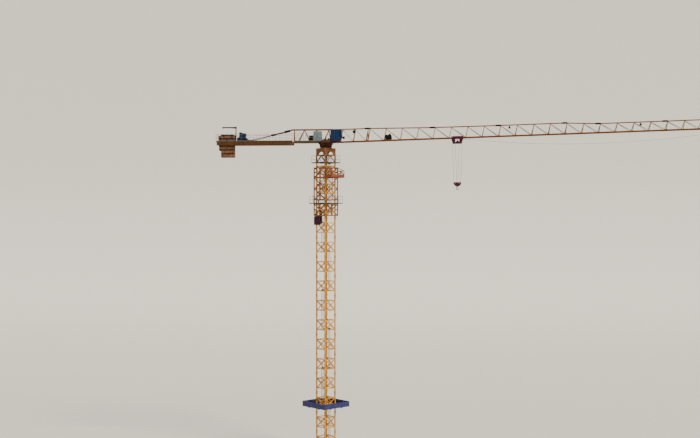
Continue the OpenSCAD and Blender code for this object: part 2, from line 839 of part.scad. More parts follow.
// Panes that fill the cab's window openings.
module cab_windows() {
    t = cab_wall;
    g = glass_t;
    y0 = cab_y;
    y1 = cab_y + cab_w;
    c = weld_gap;
    color("#5f8fb4") {
        for (y = [y0 + (t - g) / 2, y1 - (t + g) / 2])
            translate([cab_x + 62 + c, y, cab_z + 56 + c])
                cube([cab_l - 62 - 26 - 2 * c - 8, g, cab_h - 56 - 14 - 2 * c]);
        translate([cab_x + 14 + c, y0 + (t - g) / 2, cab_z + 84 + c]) cube([40 - 2 * c, g, 68 - 2 * c]);
        translate([cab_x + (t - g) / 2, y0 + 30 + c, cab_z + 84 + c]) cube([g, cab_w - 60 - 2 * c, 60 - 2 * c]);
        intersection() {
            difference() {
                cab_prism((t - g) / 2, y0 + 10 + c, y1 - 10 - c);
                cab_prism((t + g) / 2, y0, y1);
            }
            translate([cab_x + cab_l - 40, y0 + 10 + c, cab_z + 66 + c])
                cube([60, cab_w - 20 - 2 * c, cab_h - 66 - 14 - 2 * c]);
        }
    }
}

// Front of the boxes on the near walkway.
box_y = -jib_w / 2 - chord_w / 2 - side_walk + rail_t + 4;

module electric_cabinet() {
    color("#8a9496") translate([-182, box_y, head_deck_z + weld_gap]) {
        translate([2, 2, 0]) cube([128, 46, 148]);
        translate([0, 0, 147]) cube([132, 50, 6]);
    }
}

module control_box() {
    color("#22262c") translate([-247, box_y, head_deck_z + weld_gap]) cube([62, 44, 88]);
}

/* Counter-jib */

module counter_jib_beams() {
    x0 = -counter_l;
    x1 = -head_rear_x - weld_gap;
    z0 = deck_z - beam_h;
    span = tie_x - head_rear_x;
    color(dark_yellow) {
        for (s = [-1, 1]) {
            translate([x0, s * beam_gap / 2 - beam_w / 2, z0]) difference() {
                cube([x1 - x0, beam_w, beam_h]);
                for (e = [-1, beam_w / 2 + 2])
                    translate([-1, e, 5]) cube([x1 - x0 - 30, beam_w / 2 - 1, beam_h - 10]);
            }
            for (x = [x0 + 60 : 200 : x1 - 60])
                translate([x, s > 0 ? beam_gap / 2 + beam_w / 2 - 3 : -walk_w / 2, deck_z - deck_t - 12])
                    cube([6, walk_w / 2 - beam_gap / 2 - beam_w / 2 + 3, 12]);
        }
        for (x = [x0, -slab_x + 2, -winch_x - 60, -winch_x + 50, -tie_x - 5,
                  x1 - span * 0.54, x1 - span * 0.18])
            translate([x, -beam_gap / 2, z0 + 14]) cube([10, beam_gap, 28]);
        for (s = [-1, 1]) translate([x1 - 20, s * jib_w / 2 - chord_w / 2, foot_chord_z - chord_w / 2])
            cube([20, chord_w, chord_w]);
    }
}

module counter_jib_deck() {
    x0 = -counter_l;
    x1 = -head_rear_x - 6;
    out = beam_gap / 2 + beam_w / 2;
    inner = beam_gap / 2 - beam_w / 2 - weld_gap;
    color("#5b5148") {
        for (s = [-1, 1])
            translate([x0, s > 0 ? out + weld_gap : -walk_w / 2, deck_z - deck_t])
                cube([x1 - x0, walk_w / 2 - out - weld_gap, deck_t]);
        translate([-tie_x + 40, -inner, deck_z - deck_t]) cube([x1 + tie_x - 40, 2 * inner, deck_t]);
        translate([x0, -inner, deck_z - deck_t]) cube([slab_end - slabs_l - 3, 2 * inner, deck_t]);
    }
}

module counter_jib_handrails() {
    x0 = -counter_l;
    x1 = -head_rear_x - 6;
    color(rail_grey) {
        for (y = [-walk_w / 2 + rail_t / 2, walk_w / 2 - rail_t / 2])
            translate([x0, y, deck_z + weld_gap]) rail_panel(x1 - x0, 13);
        translate([x0 + rail_t / 2, -walk_w / 2 + rail_t + fit_gap, deck_z + weld_gap])
            rotate([0, 0, 90]) rail_panel(walk_w - 2 * rail_t - 2 * fit_gap, 4);
    }
}

// Each tie is a flat bar in three lengths, joined by two pairs of link plates, with a lug at its foot.
module tie_bars() {
    lug_l = 100;
    color("#8a3a2c") for (s = [-1, 1]) {
        low = [-tie_x, s * beam_gap / 2, deck_z + 16];
        high = [38 - head_back, s * (chord_w / 2 + 5), head_top_z];
        d = (high - low) / norm(high - low);
        bar(low, high, 4, tie_w);
        // Share of the length and half length of each pair of link plates
        for (link = [[0.52, 23], [0.88, 37]]) {
            m = low + (high - low) * link[0];
            bar(m - d * link[1], m + d * link[1], 7, tie_w + 8);
        }
        translate([-tie_x - lug_l / 2, s * beam_gap / 2 - 4, deck_z + weld_gap]) cube([lug_l, 8, 26]);
    }
}

slab_step = slab_t + slab_gap;
slabs_l = slab_count * slab_step + small_slab_t;
slab_top = deck_z + shoulder_h;

// A concrete slab that hangs between the beams by its shoulders.
module slab(x, t, h, top) {
    stem = beam_gap - beam_w - 6;
    translate([x, 0, 0]) difference() {
        union() {
            translate([-t, -stem / 2, top - h]) cube([t, stem, h]);
            translate([-t, -shoulder_w / 2, deck_z + weld_gap])
                cube([t, shoulder_w, top - deck_z - weld_gap]);
        }
        for (z = [top - h + 60 : 58 : deck_z - 12], s = [-1, 1])
            translate([-t - 1, s > 0 ? stem / 2 - groove_d : -stem / 2 - 1, z])
                cube([t + 2, groove_d + 1, groove_h]);
        for (z = [deck_z + 40, deck_z + 84], s = [-1, 1])
            if (z < top - 10) translate([-t - 1, s > 0 ? shoulder_w / 2 - groove_d : -shoulder_w / 2 - 1, z])
                cube([t + 2, groove_d + 1, groove_h]);
    }
}

module counterweights() {
    color("#7d5f45") {
        for (i = [0 : slab_count - 1])
            slab(-slab_x - i * slab_step, slab_t, slab_h, slab_top);
        slab(-slab_x - slab_count * slab_step, small_slab_t, small_slab_h, slab_top - 20);
    }
}

module davit_post() {
    top = deck_z + davit_h;
    color(yellow) translate([-davit_x, 0, 0]) {
        translate([0, 0, deck_z - 6]) cylinder(r = davit_r, h = top - deck_z + 20, $fn = 32);
        translate([0, 0, top - 16]) cylinder(r = davit_r + 4, h = 6, $fn = 32);
        translate([-12, -beam_gap / 2 + beam_w / 2 + weld_gap, deck_z - 12])
            cube([24, beam_gap - beam_w - 2 * weld_gap, 8]);
    }
}

// The arm turns on the post: a sleeve, a boom and a stay under it.
module davit_arm() {
    top = deck_z + davit_h;
    z0 = top - 10 + fit_gap;
    color(yellow) translate([-davit_x, 0, 0]) {
        difference() {
            union() {
                translate([0, 0, z0]) cylinder(r = davit_r + 4, h = 22, $fn = 32);
                translate([-davit_l, -3.5, z0 + 12]) cube([davit_l, 7, 9]);
                bar([-davit_l * 0.45, 0, z0 + 14], [-davit_r - 2, 0, z0 + 3], 5, 5);
            }
            translate([0, 0, z0 - 1]) cylinder(r = davit_r + 0.15, h = 24, $fn = 32);
        }
        translate([-davit_l + 6, -4, z0 - 2]) cube([10, 8, 15]);
    }
}

module hoist_winch() {
    foot_l = 112;
    color("#1b2536") translate([-winch_x, 0, deck_z + weld_gap]) {
        for (y = [-drum_l / 2 - 4, drum_l / 2 + 12])
            translate([0, y, 0]) rotate([90, 0, 0]) linear_extrude(8) difference() {
                union() {
                    translate([0, drum_z]) circle(r = winch_plate_r, $fn = round_fn);
                    translate([-foot_l / 2, 0]) square([foot_l, 36]);
                }
                translate([0, drum_z]) circle(r = 9, $fn = round_fn);
            }
        for (x = [-foot_l / 2, foot_l / 2 - 12])
            translate([x, -drum_l / 2 - 26, 0]) cube([12, drum_l + 52, 12]);
        translate([67, -drum_l / 2 - 20, 32]) rotate([-90, 0, 0])
            cylinder(r = 19, h = drum_l + 16, $fn = round_fn);
        translate([50, -20, 0]) cube([30, 40, 24]);
        translate([-76, -drum_l / 2 - 20, 12]) cube([26, drum_l + 30, 50]);
    }
}

module hoist_drum() {
    color("#9a9a92") translate([-winch_x, 0, deck_z + weld_gap + drum_z]) rotate([90, 0, 0]) {
        cylinder(r = drum_r, h = drum_l - 8, center = true, $fn = round_fn);
        for (z = [-drum_l / 2, drum_l / 2 - 5]) translate([0, 0, z])
            cylinder(r = flange_r, h = 5, $fn = round_fn);
        cylinder(r = 8.8, h = drum_l + 20, center = true, $fn = round_fn);
    }
}

/* Jib */

// Distances from the foot pins to each section joint.
joint_1 = root_l;
joint_2 = joint_1 + long_l;
joint_3 = joint_2 + long_l;
joint_4 = joint_3 + long_l;
joint_5 = joint_4 + short_l;
joint_6 = joint_5 + long_l;
joint_7 = joint_6 + long_l;
jib_end = joint_7 + tip_l;
joints_s = [0, joint_1, joint_2, joint_3, joint_4, joint_5, joint_6, joint_7, jib_end];
joints_d = [head_depth, depth_1, depth_2, depth_mid, depth_mid, depth_out, depth_out, depth_out, depth_out];

// Truss height at distance x from the foot pins.
function depth_at(x) = lookup(x, [for (i = [0 : len(joints_s) - 1]) [joints_s[i], joints_d[i]]]);

// Feet of the side posts, from the foot pins to the tip.
root_feet = [for (k = [2 : -1 : 0]) joint_1 - 27 - k * root_bay];
outer_feet = [for (x = [joint_1 : bay_l : joint_7 - 1]) x];
feet = concat(root_feet, outer_feet, [joint_7]);

module on_jib() { translate([jib_foot_x, 0, foot_chord_z]) rotate([0, -jib_rise, 0]) children(); }

module jib_top_chord() {
    color(yellow) on_jib() {
        for (i = [0 : len(joints_s) - 2]) {
            a = joints_s[i];
            b = joints_s[i + 1];
            bar([a, 0, joints_d[i]], [b, 0, joints_d[i + 1]], chord_w, chord_w);
            if (i > 0) translate([a - 12, -chord_w / 2 - 2, joints_d[i] - chord_w / 2])
                cube([24, chord_w + 4, chord_w + 5]);
        }
    }
}

module jib_side(side) {
    foot_end = 8;
    last = len(feet) - 1;
    y0 = side > 0 ? jib_w / 2 + chord_w / 2 - 1 : -jib_w / 2 - chord_w / 2 - ledge_w;
    color(yellow) on_jib() {
        difference() {
            translate([-foot_end, side * jib_w / 2 - chord_w / 2, -chord_w / 2])
                cube([jib_end + foot_end, chord_w, chord_w]);
            translate([0, side * jib_w / 2, 0]) rotate([90, 0, 0])
                cylinder(r = foot_pin_r + pin_gap, h = chord_w + 2, center = true, $fn = 32);
        }
        translate([joint_1 - 440, y0, -chord_w / 2]) cube([joint_7 - joint_1 + 440, ledge_w + 1, ledge_t]);
        for (i = [0 : last]) {
            xt = min(feet[i] + post_lean, jib_end - 6);
            side_bar(feet[i], xt, depth_at(xt + 6), side, jib_bar);
            if (i < last) side_bar(feet[i + 1], xt, depth_at(xt + 6), side, jib_bar);
        }
        side_bar(feet[0], 20, depth_at(26), side, jib_bar);
    }
}

module jib_floor_bracing() {
    inner = jib_w / 2 - chord_w / 2 - weld_gap;
    w = 6;
    color(yellow) on_jib() translate([0, 0, -w / 2]) linear_extrude(w) intersection() {
        union() {
            for (x = feet) translate([x - w / 2, -inner]) square([w, 2 * inner]);
            for (i = [0 : len(feet) - 2])
                flat_bar([feet[i], i % 2 == 0 ? -inner : inner],
                         [feet[i + 1], i % 2 == 0 ? inner : -inner], w - 1);
        }
        translate([0, -inner]) square([jib_end, 2 * inner]);
    }
}

tip_plate = 4;

module jib_tip() {
    color(yellow) on_jib() {
        translate([jib_end + weld_gap, -jib_w / 2 - chord_w / 2, -chord_w / 2])
            cube([8, jib_w + chord_w, chord_w]);
        translate([jib_end + weld_gap, -chord_w / 2, -chord_w / 2]) cube([8, chord_w, depth_out + chord_w]);
        translate([jib_end + tip_plate, -18, -18]) cube([5, 36, 20]);
    }
}

module trolley_winch() {
    x = trolley_winch_x - jib_foot_x;
    rest = jib_w / 2 + 1;
    l = 104;
    axle_z = 48;
    drum_at_x = -14;
    motor_at_x = 34;
    color("#23262b") on_jib() translate([x, 0, chord_w / 2 + weld_gap]) {
        for (dx = [-l / 2 + 16, l / 2 - 24]) translate([dx, -rest, 0]) cube([8, 2 * rest, 8]);
        translate([-l / 2 + 1, -24, 7]) cube([l - 2, 48, 7]);
        translate([drum_at_x, 0, axle_z]) rotate([90, 0, 0]) {
            cylinder(r = 22, h = 42, center = true, $fn = round_fn);
            for (z = [-21, 17]) translate([0, 0, z]) cylinder(r = 33, h = 4, $fn = round_fn);
        }
        translate([drum_at_x - 14, -17, 12]) cube([28, 34, 20]);
        translate([motor_at_x, 0, 34]) rotate([90, 0, 0])
            cylinder(r = 14, h = 46, center = true, $fn = round_fn);
        translate([motor_at_x - 12, -20, 12]) cube([24, 40, 14]);
    }
}

/* Ropes, pulleys, trolley and hook */

rope_z = -chord_w / 2 - 4;
pulley_r = 22;
low_pulley_r = 14;

module pulley(r, w) {
    rotate([90, 0, 0]) {
        cylinder(r = r, h = w, center = true, $fn = round_fn);
        cylinder(r = r * 0.3, h = w + 10, center = true, $fn = round_fn);
    }
}

// Centres of the pulleys, seen from the side, from the foot pins: distance and height.
upper_at = [327, depth_at(327) - 44];
low_at = [60, rope_z + low_pulley_r + rope_r + fit_gap];
drum_at = [-winch_x - jib_foot_x, deck_z + weld_gap + drum_z - foot_chord_z];

// The unit vector square to a straight run of rope between two pulleys.
// The run lies on the far side of the first pulley, and the second is beyond it by far.
function run_normal(a, b, far, turn) =
    let(d = b - a, l = norm(d), e = d / l, k = far / l, n = turn * [-e[1], e[0]])
    e * k + n * sqrt(1 - k * k);

// The pulleys that lead the hoist rope from the winch, over the head and out along the jib.
module rope_pulleys() {
    inner = jib_w / 2 - chord_w / 2 - weld_gap;
    color("#2a2626") on_jib() {
        translate([upper_at[0], 0, upper_at[1]]) {
            pulley(pulley_r, 6);
            for (y = [-9, 5]) translate([-8, y, -8]) cube([16, 4, 44 - chord_w / 2 + 8 - weld_gap]);
        }
        translate([low_at[0], 0, low_at[1]]) {
            pulley(low_pulley_r, 6);
            rotate([90, 0, 0]) cylinder(r = 3, h = 2 * inner, center = true, $fn = 32);
        }
    }
}

// From the drum, over the upper pulley and down to the one at the jib's foot.
module hoist_rope_rear() {
    over = pulley_r + rope_r + fit_gap;
    under = low_pulley_r + rope_r + fit_gap;
    wound = drum_r + rope_r + fit_gap;
    up = rotate_back(upper_at);
    m1 = run_normal(drum_at, up, wound - over, 1);
    m2 = run_normal(upper_at, low_at, over + under, 1);
    a = drum_at + wound * m1;
    b = up + over * m1;
    c = upper_at + over * m2;
    d = low_at - under * m2;
    color("#4a4a48") {
        translate([jib_foot_x, 0, foot_chord_z]) rod([a[0], 0, a[1]], [b[0], 0, b[1]], rope_r);
        on_jib() rod([c[0], 0, c[1]], [d[0], 0, d[1]], rope_r);
    }
}

// Turns a point of the jib's own plane back to level.
function rotate_back(p) =
    [p[0] * cos(jib_rise) - p[1] * sin(jib_rise), p[0] * sin(jib_rise) + p[1] * cos(jib_rise)];

module hoist_rope_head() {
    color("#4a4a48") on_jib()
        rod([low_at[0], 0, rope_z], [trolley_s - jib_foot_x - sheave_x, 0, rope_z], rope_r);
}

// A rope swept as one tube along points that lie in the jib's middle plane.
module swept_rope(pts) {
    sides = 8;
    last = len(pts) - 1;
    function heading(i) =
        let(d = pts[min(i + 1, last)] - pts[max(i - 1, 0)]) atan2(d[1], d[0]);
    rings = [for (i = [0 : last], k = [0 : sides - 1])
        let(a = 360 * k / sides, h = heading(i), up = rope_r * cos(a))
        [pts[i][0] - up * sin(h), rope_r * sin(a), pts[i][1] + up * cos(h)]];
    walls = [for (i = [0 : last - 1], k = [0 : sides - 1])
        let(n = (k + 1) % sides)
        [i * sides + k, i * sides + n, (i + 1) * sides + n, (i + 1) * sides + k]];
    polyhedron(rings, concat(walls, [[for (k = [sides - 1 : -1 : 0]) k],
                                     [for (k = [0 : sides - 1]) last * sides + k]]));
}

// The rope from the trolley to the tip hangs in a shallow curve.
module hoist_rope_tip() {
    a = trolley_s - jib_foot_x + sheave_x;
    b = jib_end + tip_plate - fit_gap;
    n = 20;
    color("#4a4a48") on_jib()
        swept_rope([for (i = [0 : n]) let(t = i / n) [a + (b - a) * t, rope_z - 4 * rope_sag * t * (1 - t)]]);
}

trolley_y = jib_w / 2 + chord_w / 2;
wheel_z = -chord_w / 2 + ledge_t + fit_gap + wheel_r;
sheave_z = rope_z - rope_r - fit_gap - sheave_r;

module at_trolley() { on_jib() translate([trolley_s - jib_foot_x, 0, 0]) children(); }

// Two side plates with a window each, on four wheels, joined by cross beams.
// Two inner brackets at each end carry the sheaves.
module trolley_frame() {
    side_y = trolley_y + ledge_w + 5;
    l = trolley_l;
    low = -84;
    window = 64;
    beam_z = low + 10;
    end = l / 2 - 20;
    color("#4a1822") at_trolley() {
        for (s = [-1, 1]) {
            translate([0, s > 0 ? side_y + 4 : -side_y, 0]) rotate([90, 0, 0]) linear_extrude(4)
                difference() {
                    polygon([[-l / 2, 22], [l / 2, 22], [l / 2, -26], [end, low], [-end, low], [-l / 2, -26]]);
                    translate([-window / 2, low + 12]) square([window, -low - 12 - chord_w / 2 - 3]);
                }
            for (x = [-l / 2 + 16, l / 2 - 16]) translate([x, s * (trolley_y + 5), wheel_z])
                rotate([90, 0, 0]) cylinder(r = wheel_r, h = 6, center = true, $fn = 32);
            for (x = [-l / 2 + 16, l / 2 - 16]) translate([x, s * (trolley_y + 10), wheel_z])
                rotate([90, 0, 0]) cylinder(r = 3, h = 12, center = true, $fn = 32);
        }
        for (x = [-end, end - 8])
            translate([x, -side_y - 1, beam_z]) cube([8, 2 * side_y + 2, 12]);
        for (y = [-sheave_w / 2 - 7, sheave_w / 2 + 3]) {
            translate([-end + 1, y, beam_z]) cube([2 * end - 2, 4, 12]);
            for (x = [-end + 1, window / 2])
                translate([x, y, beam_z]) cube([end - 1 - window / 2, 4, 56]);
        }
        for (x = [-sheave_x, sheave_x]) translate([x, 0, sheave_z]) pulley(sheave_r, sheave_w);
    }
}

// Distances of the four falls from the trolley's middle, at its sheaves and at the hook block's.
fall_top = [for (x = [-sheave_x, sheave_x], s = [-1, 1]) x + s * (sheave_r + rope_r + fit_gap)];
fall_low = [for (x = [-block_gap / 2, block_gap / 2], s = [-1, 1]) x + s * (block_r + rope_r + fit_gap)];
hang_x = jib_foot_x + (trolley_s - jib_foot_x) * cos(jib_rise) - sheave_z * sin(jib_rise);
trolley_z = foot_chord_z + (trolley_s - jib_foot_x) * sin(jib_rise);
block_z = trolley_z + sheave_z - hook_drop;
hook_seat = 46;

module hoist_falls() {
    color("#4a4a48") translate([hang_x, 0, 0]) for (i = [0 : 3])
        rod([fall_low[i], 0, block_z], [fall_top[i], 0, trolley_z + sheave_z], rope_r);
}

module hook_block() {
    color("#5a1f22") translate([hang_x, 0, block_z]) {
        for (x = [-block_gap / 2, block_gap / 2]) translate([x, 0, 0]) pulley(block_r, 6);
        difference() {
            union() {
                for (y = [-9, 5]) translate([0, y + 4, 0]) rotate([90, 0, 0]) linear_extrude(4)
                    polygon([[-58, 20], [58, 20], [58, -10], [24, -44], [-24, -44], [-58, -10]]);
                centred_box(36, 18, -hook_seat, -18);
            }
            translate([0, 0, -hook_seat - 1]) cylinder(r = 6, h = 14, $fn = 32);
        }
    }
}

module load_hook() {
    r = hook_r;
    w = 9;
    color("#3a3634") translate([hang_x, 0, block_z - hook_seat]) {
        translate([0, 0, -12]) cylinder(r = 5.7, h = 24, $fn = 32);
        translate([0, 0, -12 - r - w / 2]) rotate([90, 0, 0]) rotate([0, 0, 90])
            rotate_extrude(angle = 280, $fn = round_fn) translate([r + w / 2, 0]) square([w, w], center = true);
        translate([-5, -w / 2, -14]) cube([10, w, 8]);
    }
}

base_frame();
mast_legs();
mast_bracing(3);  // mast_bracing_intake
mast_bracing(2);  // mast_bracing_left
mast_bracing(1);  // mast_bracing_ram
mast_bracing(0);  // mast_bracing_right
mast_ladders();
mast_landings();
guard_platform();
guard_boards();
cage_posts();
cage_side(3, [0, 3]);  // cage_side_intake
cage_side(2, [0, 2, 3]);  // cage_side_left
cage_side(1, [0, 2, 3]);  // cage_side_ram
cage_side(0, [0, 2, 3]);  // cage_side_right
cage_rollers();
cage_platform();
cage_handrails();
intake_platform();
climbing_ram();
climbing_yoke();
slewing_base();
top_platform();
top_handrails();
slewing_table();
slewing_motors();
head_frame();
head_top_chord();
head_side(-1);  // head_side_near
head_side(1);  // head_side_far
head_platform();
head_handrails();
cab_shell();
cab_windows();
electric_cabinet();
control_box();
counter_jib_beams();
counter_jib_deck();
counter_jib_handrails();
tie_bars();
hoist_winch();
hoist_drum();
counterweights();
davit_post();
davit_arm();
jib_top_chord();
jib_side(-1);  // jib_side_near
jib_side(1);  // jib_side_far
jib_floor_bracing();
jib_tip();
trolley_winch();
rope_pulleys();
hoist_rope_rear();
hoist_rope_head();
hoist_rope_tip();
trolley_frame();
hoist_falls();
hook_block();
load_hook();
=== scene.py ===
"""Looks of a flat-top tower crane, at one tenth of its real size.

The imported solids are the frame: +X runs along the jib, +Z is up, and the cab is on the -Y side.
Every solid gets its finish here, and the bolts, pins, seals, fins and ropes that it carries.
Sizes and places in the classes are millimetres of the model.
"""

import json
import logging
import math
from dataclasses import dataclass, field
from enum import Enum
from typing import Iterable, Sequence

import bmesh
import bpy
from mathutils import Matrix, Vector


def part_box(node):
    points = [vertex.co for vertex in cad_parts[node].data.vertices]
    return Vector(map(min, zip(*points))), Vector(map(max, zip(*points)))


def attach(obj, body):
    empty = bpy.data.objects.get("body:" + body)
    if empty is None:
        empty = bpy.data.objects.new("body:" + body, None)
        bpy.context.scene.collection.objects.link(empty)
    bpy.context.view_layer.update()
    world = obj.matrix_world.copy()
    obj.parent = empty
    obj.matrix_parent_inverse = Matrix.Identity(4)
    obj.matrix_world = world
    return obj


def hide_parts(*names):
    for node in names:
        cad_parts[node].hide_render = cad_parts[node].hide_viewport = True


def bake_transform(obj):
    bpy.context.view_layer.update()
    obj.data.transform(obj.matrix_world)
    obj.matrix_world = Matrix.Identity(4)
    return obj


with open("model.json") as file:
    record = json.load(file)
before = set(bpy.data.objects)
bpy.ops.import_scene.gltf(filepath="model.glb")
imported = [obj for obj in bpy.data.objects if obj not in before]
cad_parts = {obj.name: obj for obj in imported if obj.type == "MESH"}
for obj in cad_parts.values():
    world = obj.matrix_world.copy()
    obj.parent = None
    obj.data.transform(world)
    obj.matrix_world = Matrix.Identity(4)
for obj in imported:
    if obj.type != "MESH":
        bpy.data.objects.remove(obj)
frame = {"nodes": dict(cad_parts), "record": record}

log = logging.getLogger("tower_crane")

MM = 0.001
MAST_TURN = 46.0
Point = Sequence[float]
Outline = Sequence[tuple[float, float]]
# The output of a Mix node that mixes colours, and its inputs.
MIX_OUT, MIX_FACTOR, MIX_A, MIX_B = 2, 0, 6, 7
# A Map Range node turns its input 0 from the range of 1 and 2 to the range of 3 and 4.
# Edges are bevelled from the first angle up, and faces are shaded smooth up to the second.
BEVEL_FROM, SMOOTH_TO = 0.7, math.radians(40)
# A washer's share of its bolt head's height, and its radius against the head's.
WASHER_H, WASHER_R = 0.25, 1.35


class Body(Enum):
    """The crane's moving bodies, as the frame names them."""

    TOWER = "tower"
    UPPER = "upper"
    DAVIT = "davit"
    TROLLEY = "trolley"
    BLOCK = "hook_block"
    HOOK = "hook"


def linear(code: str) -> tuple[float, float, float, float]:
    """Turns an sRGB hex colour to linear light.

    Args:
        code: The colour, such as "#be8c43".

    Returns:
        Red, green, blue and an alpha of one.
    """
    parts = [int(code[i:i + 2], 16) / 255 for i in (1, 3, 5)]
    light = [c / 12.92 if c <= 0.04045 else ((c + 0.055) / 1.055) ** 2.4 for c in parts]
    return (light[0], light[1], light[2], 1.0)


def per_metre(size_mm: float) -> float:
    """The texture scale at which one cell of a pattern is size_mm wide on the model."""
    return 1 / (size_mm * MM)


def add_node(tree: bpy.types.NodeTree, kind: str, inputs: dict | None = None,
             **settings: str) -> bpy.types.Node:
    """Adds one shader node with its settings and links.

    Args:
        tree: The material's node tree.
        kind: The node's type.
        inputs: What goes into each socket, by name or index: a value, or another node's output.
        settings: The node's own attributes.

    Returns:
        The new node.
    """
    node = tree.nodes.new(kind)
    for name, value in settings.items():
        setattr(node, name, value)
    for key, value in (inputs or {}).items():
        if isinstance(value, bpy.types.NodeSocket):
            tree.links.new(value, node.inputs[key])
        else:
            node.inputs[key].default_value = value
    return node


def blotches(tree: bpy.types.NodeTree, place: bpy.types.NodeSocket, size_mm: float,
             detail: float, edge: tuple[float, float, float],
             rough: float = 0.5) -> bpy.types.NodeSocket:
    """Makes a mask of blotches with soft edges.

    Args:
        tree: The material's node tree.
        place: Where on the piece the surface is.
        size_mm: The width of a blotch on the model.
        detail: How broken its outline is.
        edge: The noise at which a blotch starts, that at which it is full, and the mask there.
        rough: How much the finest detail counts.

    Returns:
        The mask.
    """
    noise = add_node(tree, "ShaderNodeTexNoise", {"Vector": place, "Scale": per_metre(size_mm),
                                                  "Detail": detail, "Roughness": rough})
    start, full, most = edge
    mask = add_node(tree, "ShaderNodeMapRange",
                    {0: noise.outputs[0], 1: start, 2: full, 3: 0.0, 4: most},
                    interpolation_type="SMOOTHSTEP")
    return mask.outputs[0]


def layered(tree: bpy.types.NodeTree, colour: str,
            *layers: tuple[bpy.types.NodeSocket, str]) -> bpy.types.NodeSocket:
    """Lays colours over one another, each as strongly as its mask says.

    Args:
        tree: The material's node tree.
        colour: The lowest colour.
        layers: The mask and the colour of each layer, from below.

    Returns:
        The colour that is seen.
    """
    seen = linear(colour)
    for mask, over in layers:
        mix = add_node(tree, "ShaderNodeMix", {MIX_FACTOR: mask, MIX_A: seen, MIX_B: linear(over)},
                       data_type="RGBA")
        seen = mix.outputs[MIX_OUT]
    return seen


@dataclass(frozen=True)
class Finish:
    """What every finish shares: a name, a colour, and how rough and how shiny it is."""

    name: str
    colour: str
    roughness: float = 0.5
    metallic: float = 0.0
    specular: float = 0.5

    def build(self) -> bpy.types.Material:
        """Makes the material, once.

        Returns:
            The new material, or the one that was made before.
        """
        known = bpy.data.materials.get(self.name)
        if known:
            return known
        material = bpy.data.materials.new(self.name)
        material.use_nodes = True
        tree = material.node_tree
        tree.nodes.clear()
        inputs = {"Roughness": self.roughness, "Metallic": self.metallic,
                  "Specular IOR Level": self.specular} | self.pattern(tree)
        shader = add_node(tree, "ShaderNodeBsdfPrincipled", inputs)
        add_node(tree, "ShaderNodeOutputMaterial", {"Surface": shader.outputs[0]})
        return material

    def pattern(self, tree: bpy.types.NodeTree) -> dict:
        """Makes the finish's own pattern.

        Args:
            tree: The material's node tree.

        Returns:
            What goes into the shader's sockets, by name.
        """
        raise NotImplementedError


@dataclass(frozen=True)
class SitePaint(Finish):
    """Sprayed alkyd enamel on steel, out on a building site for years.

    The eye sees a warm coat that has chalked in patches, pale dust on what faces up, brown streaks
    where rain runs down, and small chips rusted through.
    """

    faded: str = "#c9a567"
    dust_colour: str = "#a08a68"
    grime_colour: str = "#4c3a22"
    rust_colour: str = "#6b3a1e"
    dust: float = 0.55
    grime: float = 0.6
    chips: float = 0.64
    patch_mm: float = 60.0
    streak_mm: float = 7.0
    chip_mm: float = 5.0

    def pattern(self, tree: bpy.types.NodeTree) -> dict:
        """Makes the chalking, the streaks, the dust and the chips.

        Args:
            tree: The material's node tree.

        Returns:
            What goes into the shader's sockets, by name.
        """
        coords = add_node(tree, "ShaderNodeTexCoord")
        place = coords.outputs["Object"]
        chalk = blotches(tree, place, self.patch_mm, 4.0, (0.4, 0.7, 0.65))
        falling = add_node(tree, "ShaderNodeMapping", {"Vector": place, "Scale": (1.0, 1.0, 0.09)})
        streaks = blotches(tree, falling.outputs[0], self.streak_mm, 5.0, (0.5, 0.72, self.grime),
                           0.65)
        facing = add_node(tree, "ShaderNodeSeparateXYZ", {0: coords.outputs["Normal"]})
        upward = add_node(tree, "ShaderNodeMapRange",
                          {0: facing.outputs[2], 1: 0.2, 2: 0.95, 3: 0.04, 4: self.dust})
        drift = add_node(tree, "ShaderNodeTexNoise",
                         {"Vector": place, "Scale": per_metre(self.patch_mm / 4), "Detail": 6.0})
        dust = add_node(tree, "ShaderNodeMath", {0: upward.outputs[0], 1: drift.outputs[0]},
                        operation="MULTIPLY")
        specks = add_node(tree, "ShaderNodeTexNoise",
                          {"Vector": place, "Scale": per_metre(self.chip_mm), "Detail": 7.0,
                           "Roughness": 0.7})
        chips = add_node(tree, "ShaderNodeMapRange",
                         {0: specks.outputs[0], 1: self.chips, 2: self.chips + 0.03})
        dull = add_node(tree, "ShaderNodeMapRange",
                        {0: drift.outputs[0], 1: 0.3, 2: 0.7, 3: self.roughness - 0.08,
                         4: min(self.roughness + 0.25, 0.95)})
        relief = add_node(tree, "ShaderNodeMath", {0: specks.outputs[0], 1: chips.outputs[0]},
                          operation="SUBTRACT")
        bump = add_node(tree, "ShaderNodeBump",
                        {"Height": relief.outputs[0], "Strength": 0.25, "Distance": 0.0004})
        colour = layered(tree, self.colour, (chalk, self.faded), (streaks, self.grime_colour),
                         (dust.outputs[0], self.dust_colour), (chips.outputs[0], self.rust_colour))
        return {"Base Color": colour, "Roughness": dull.outputs[0], "Normal": bump.outputs[0]}


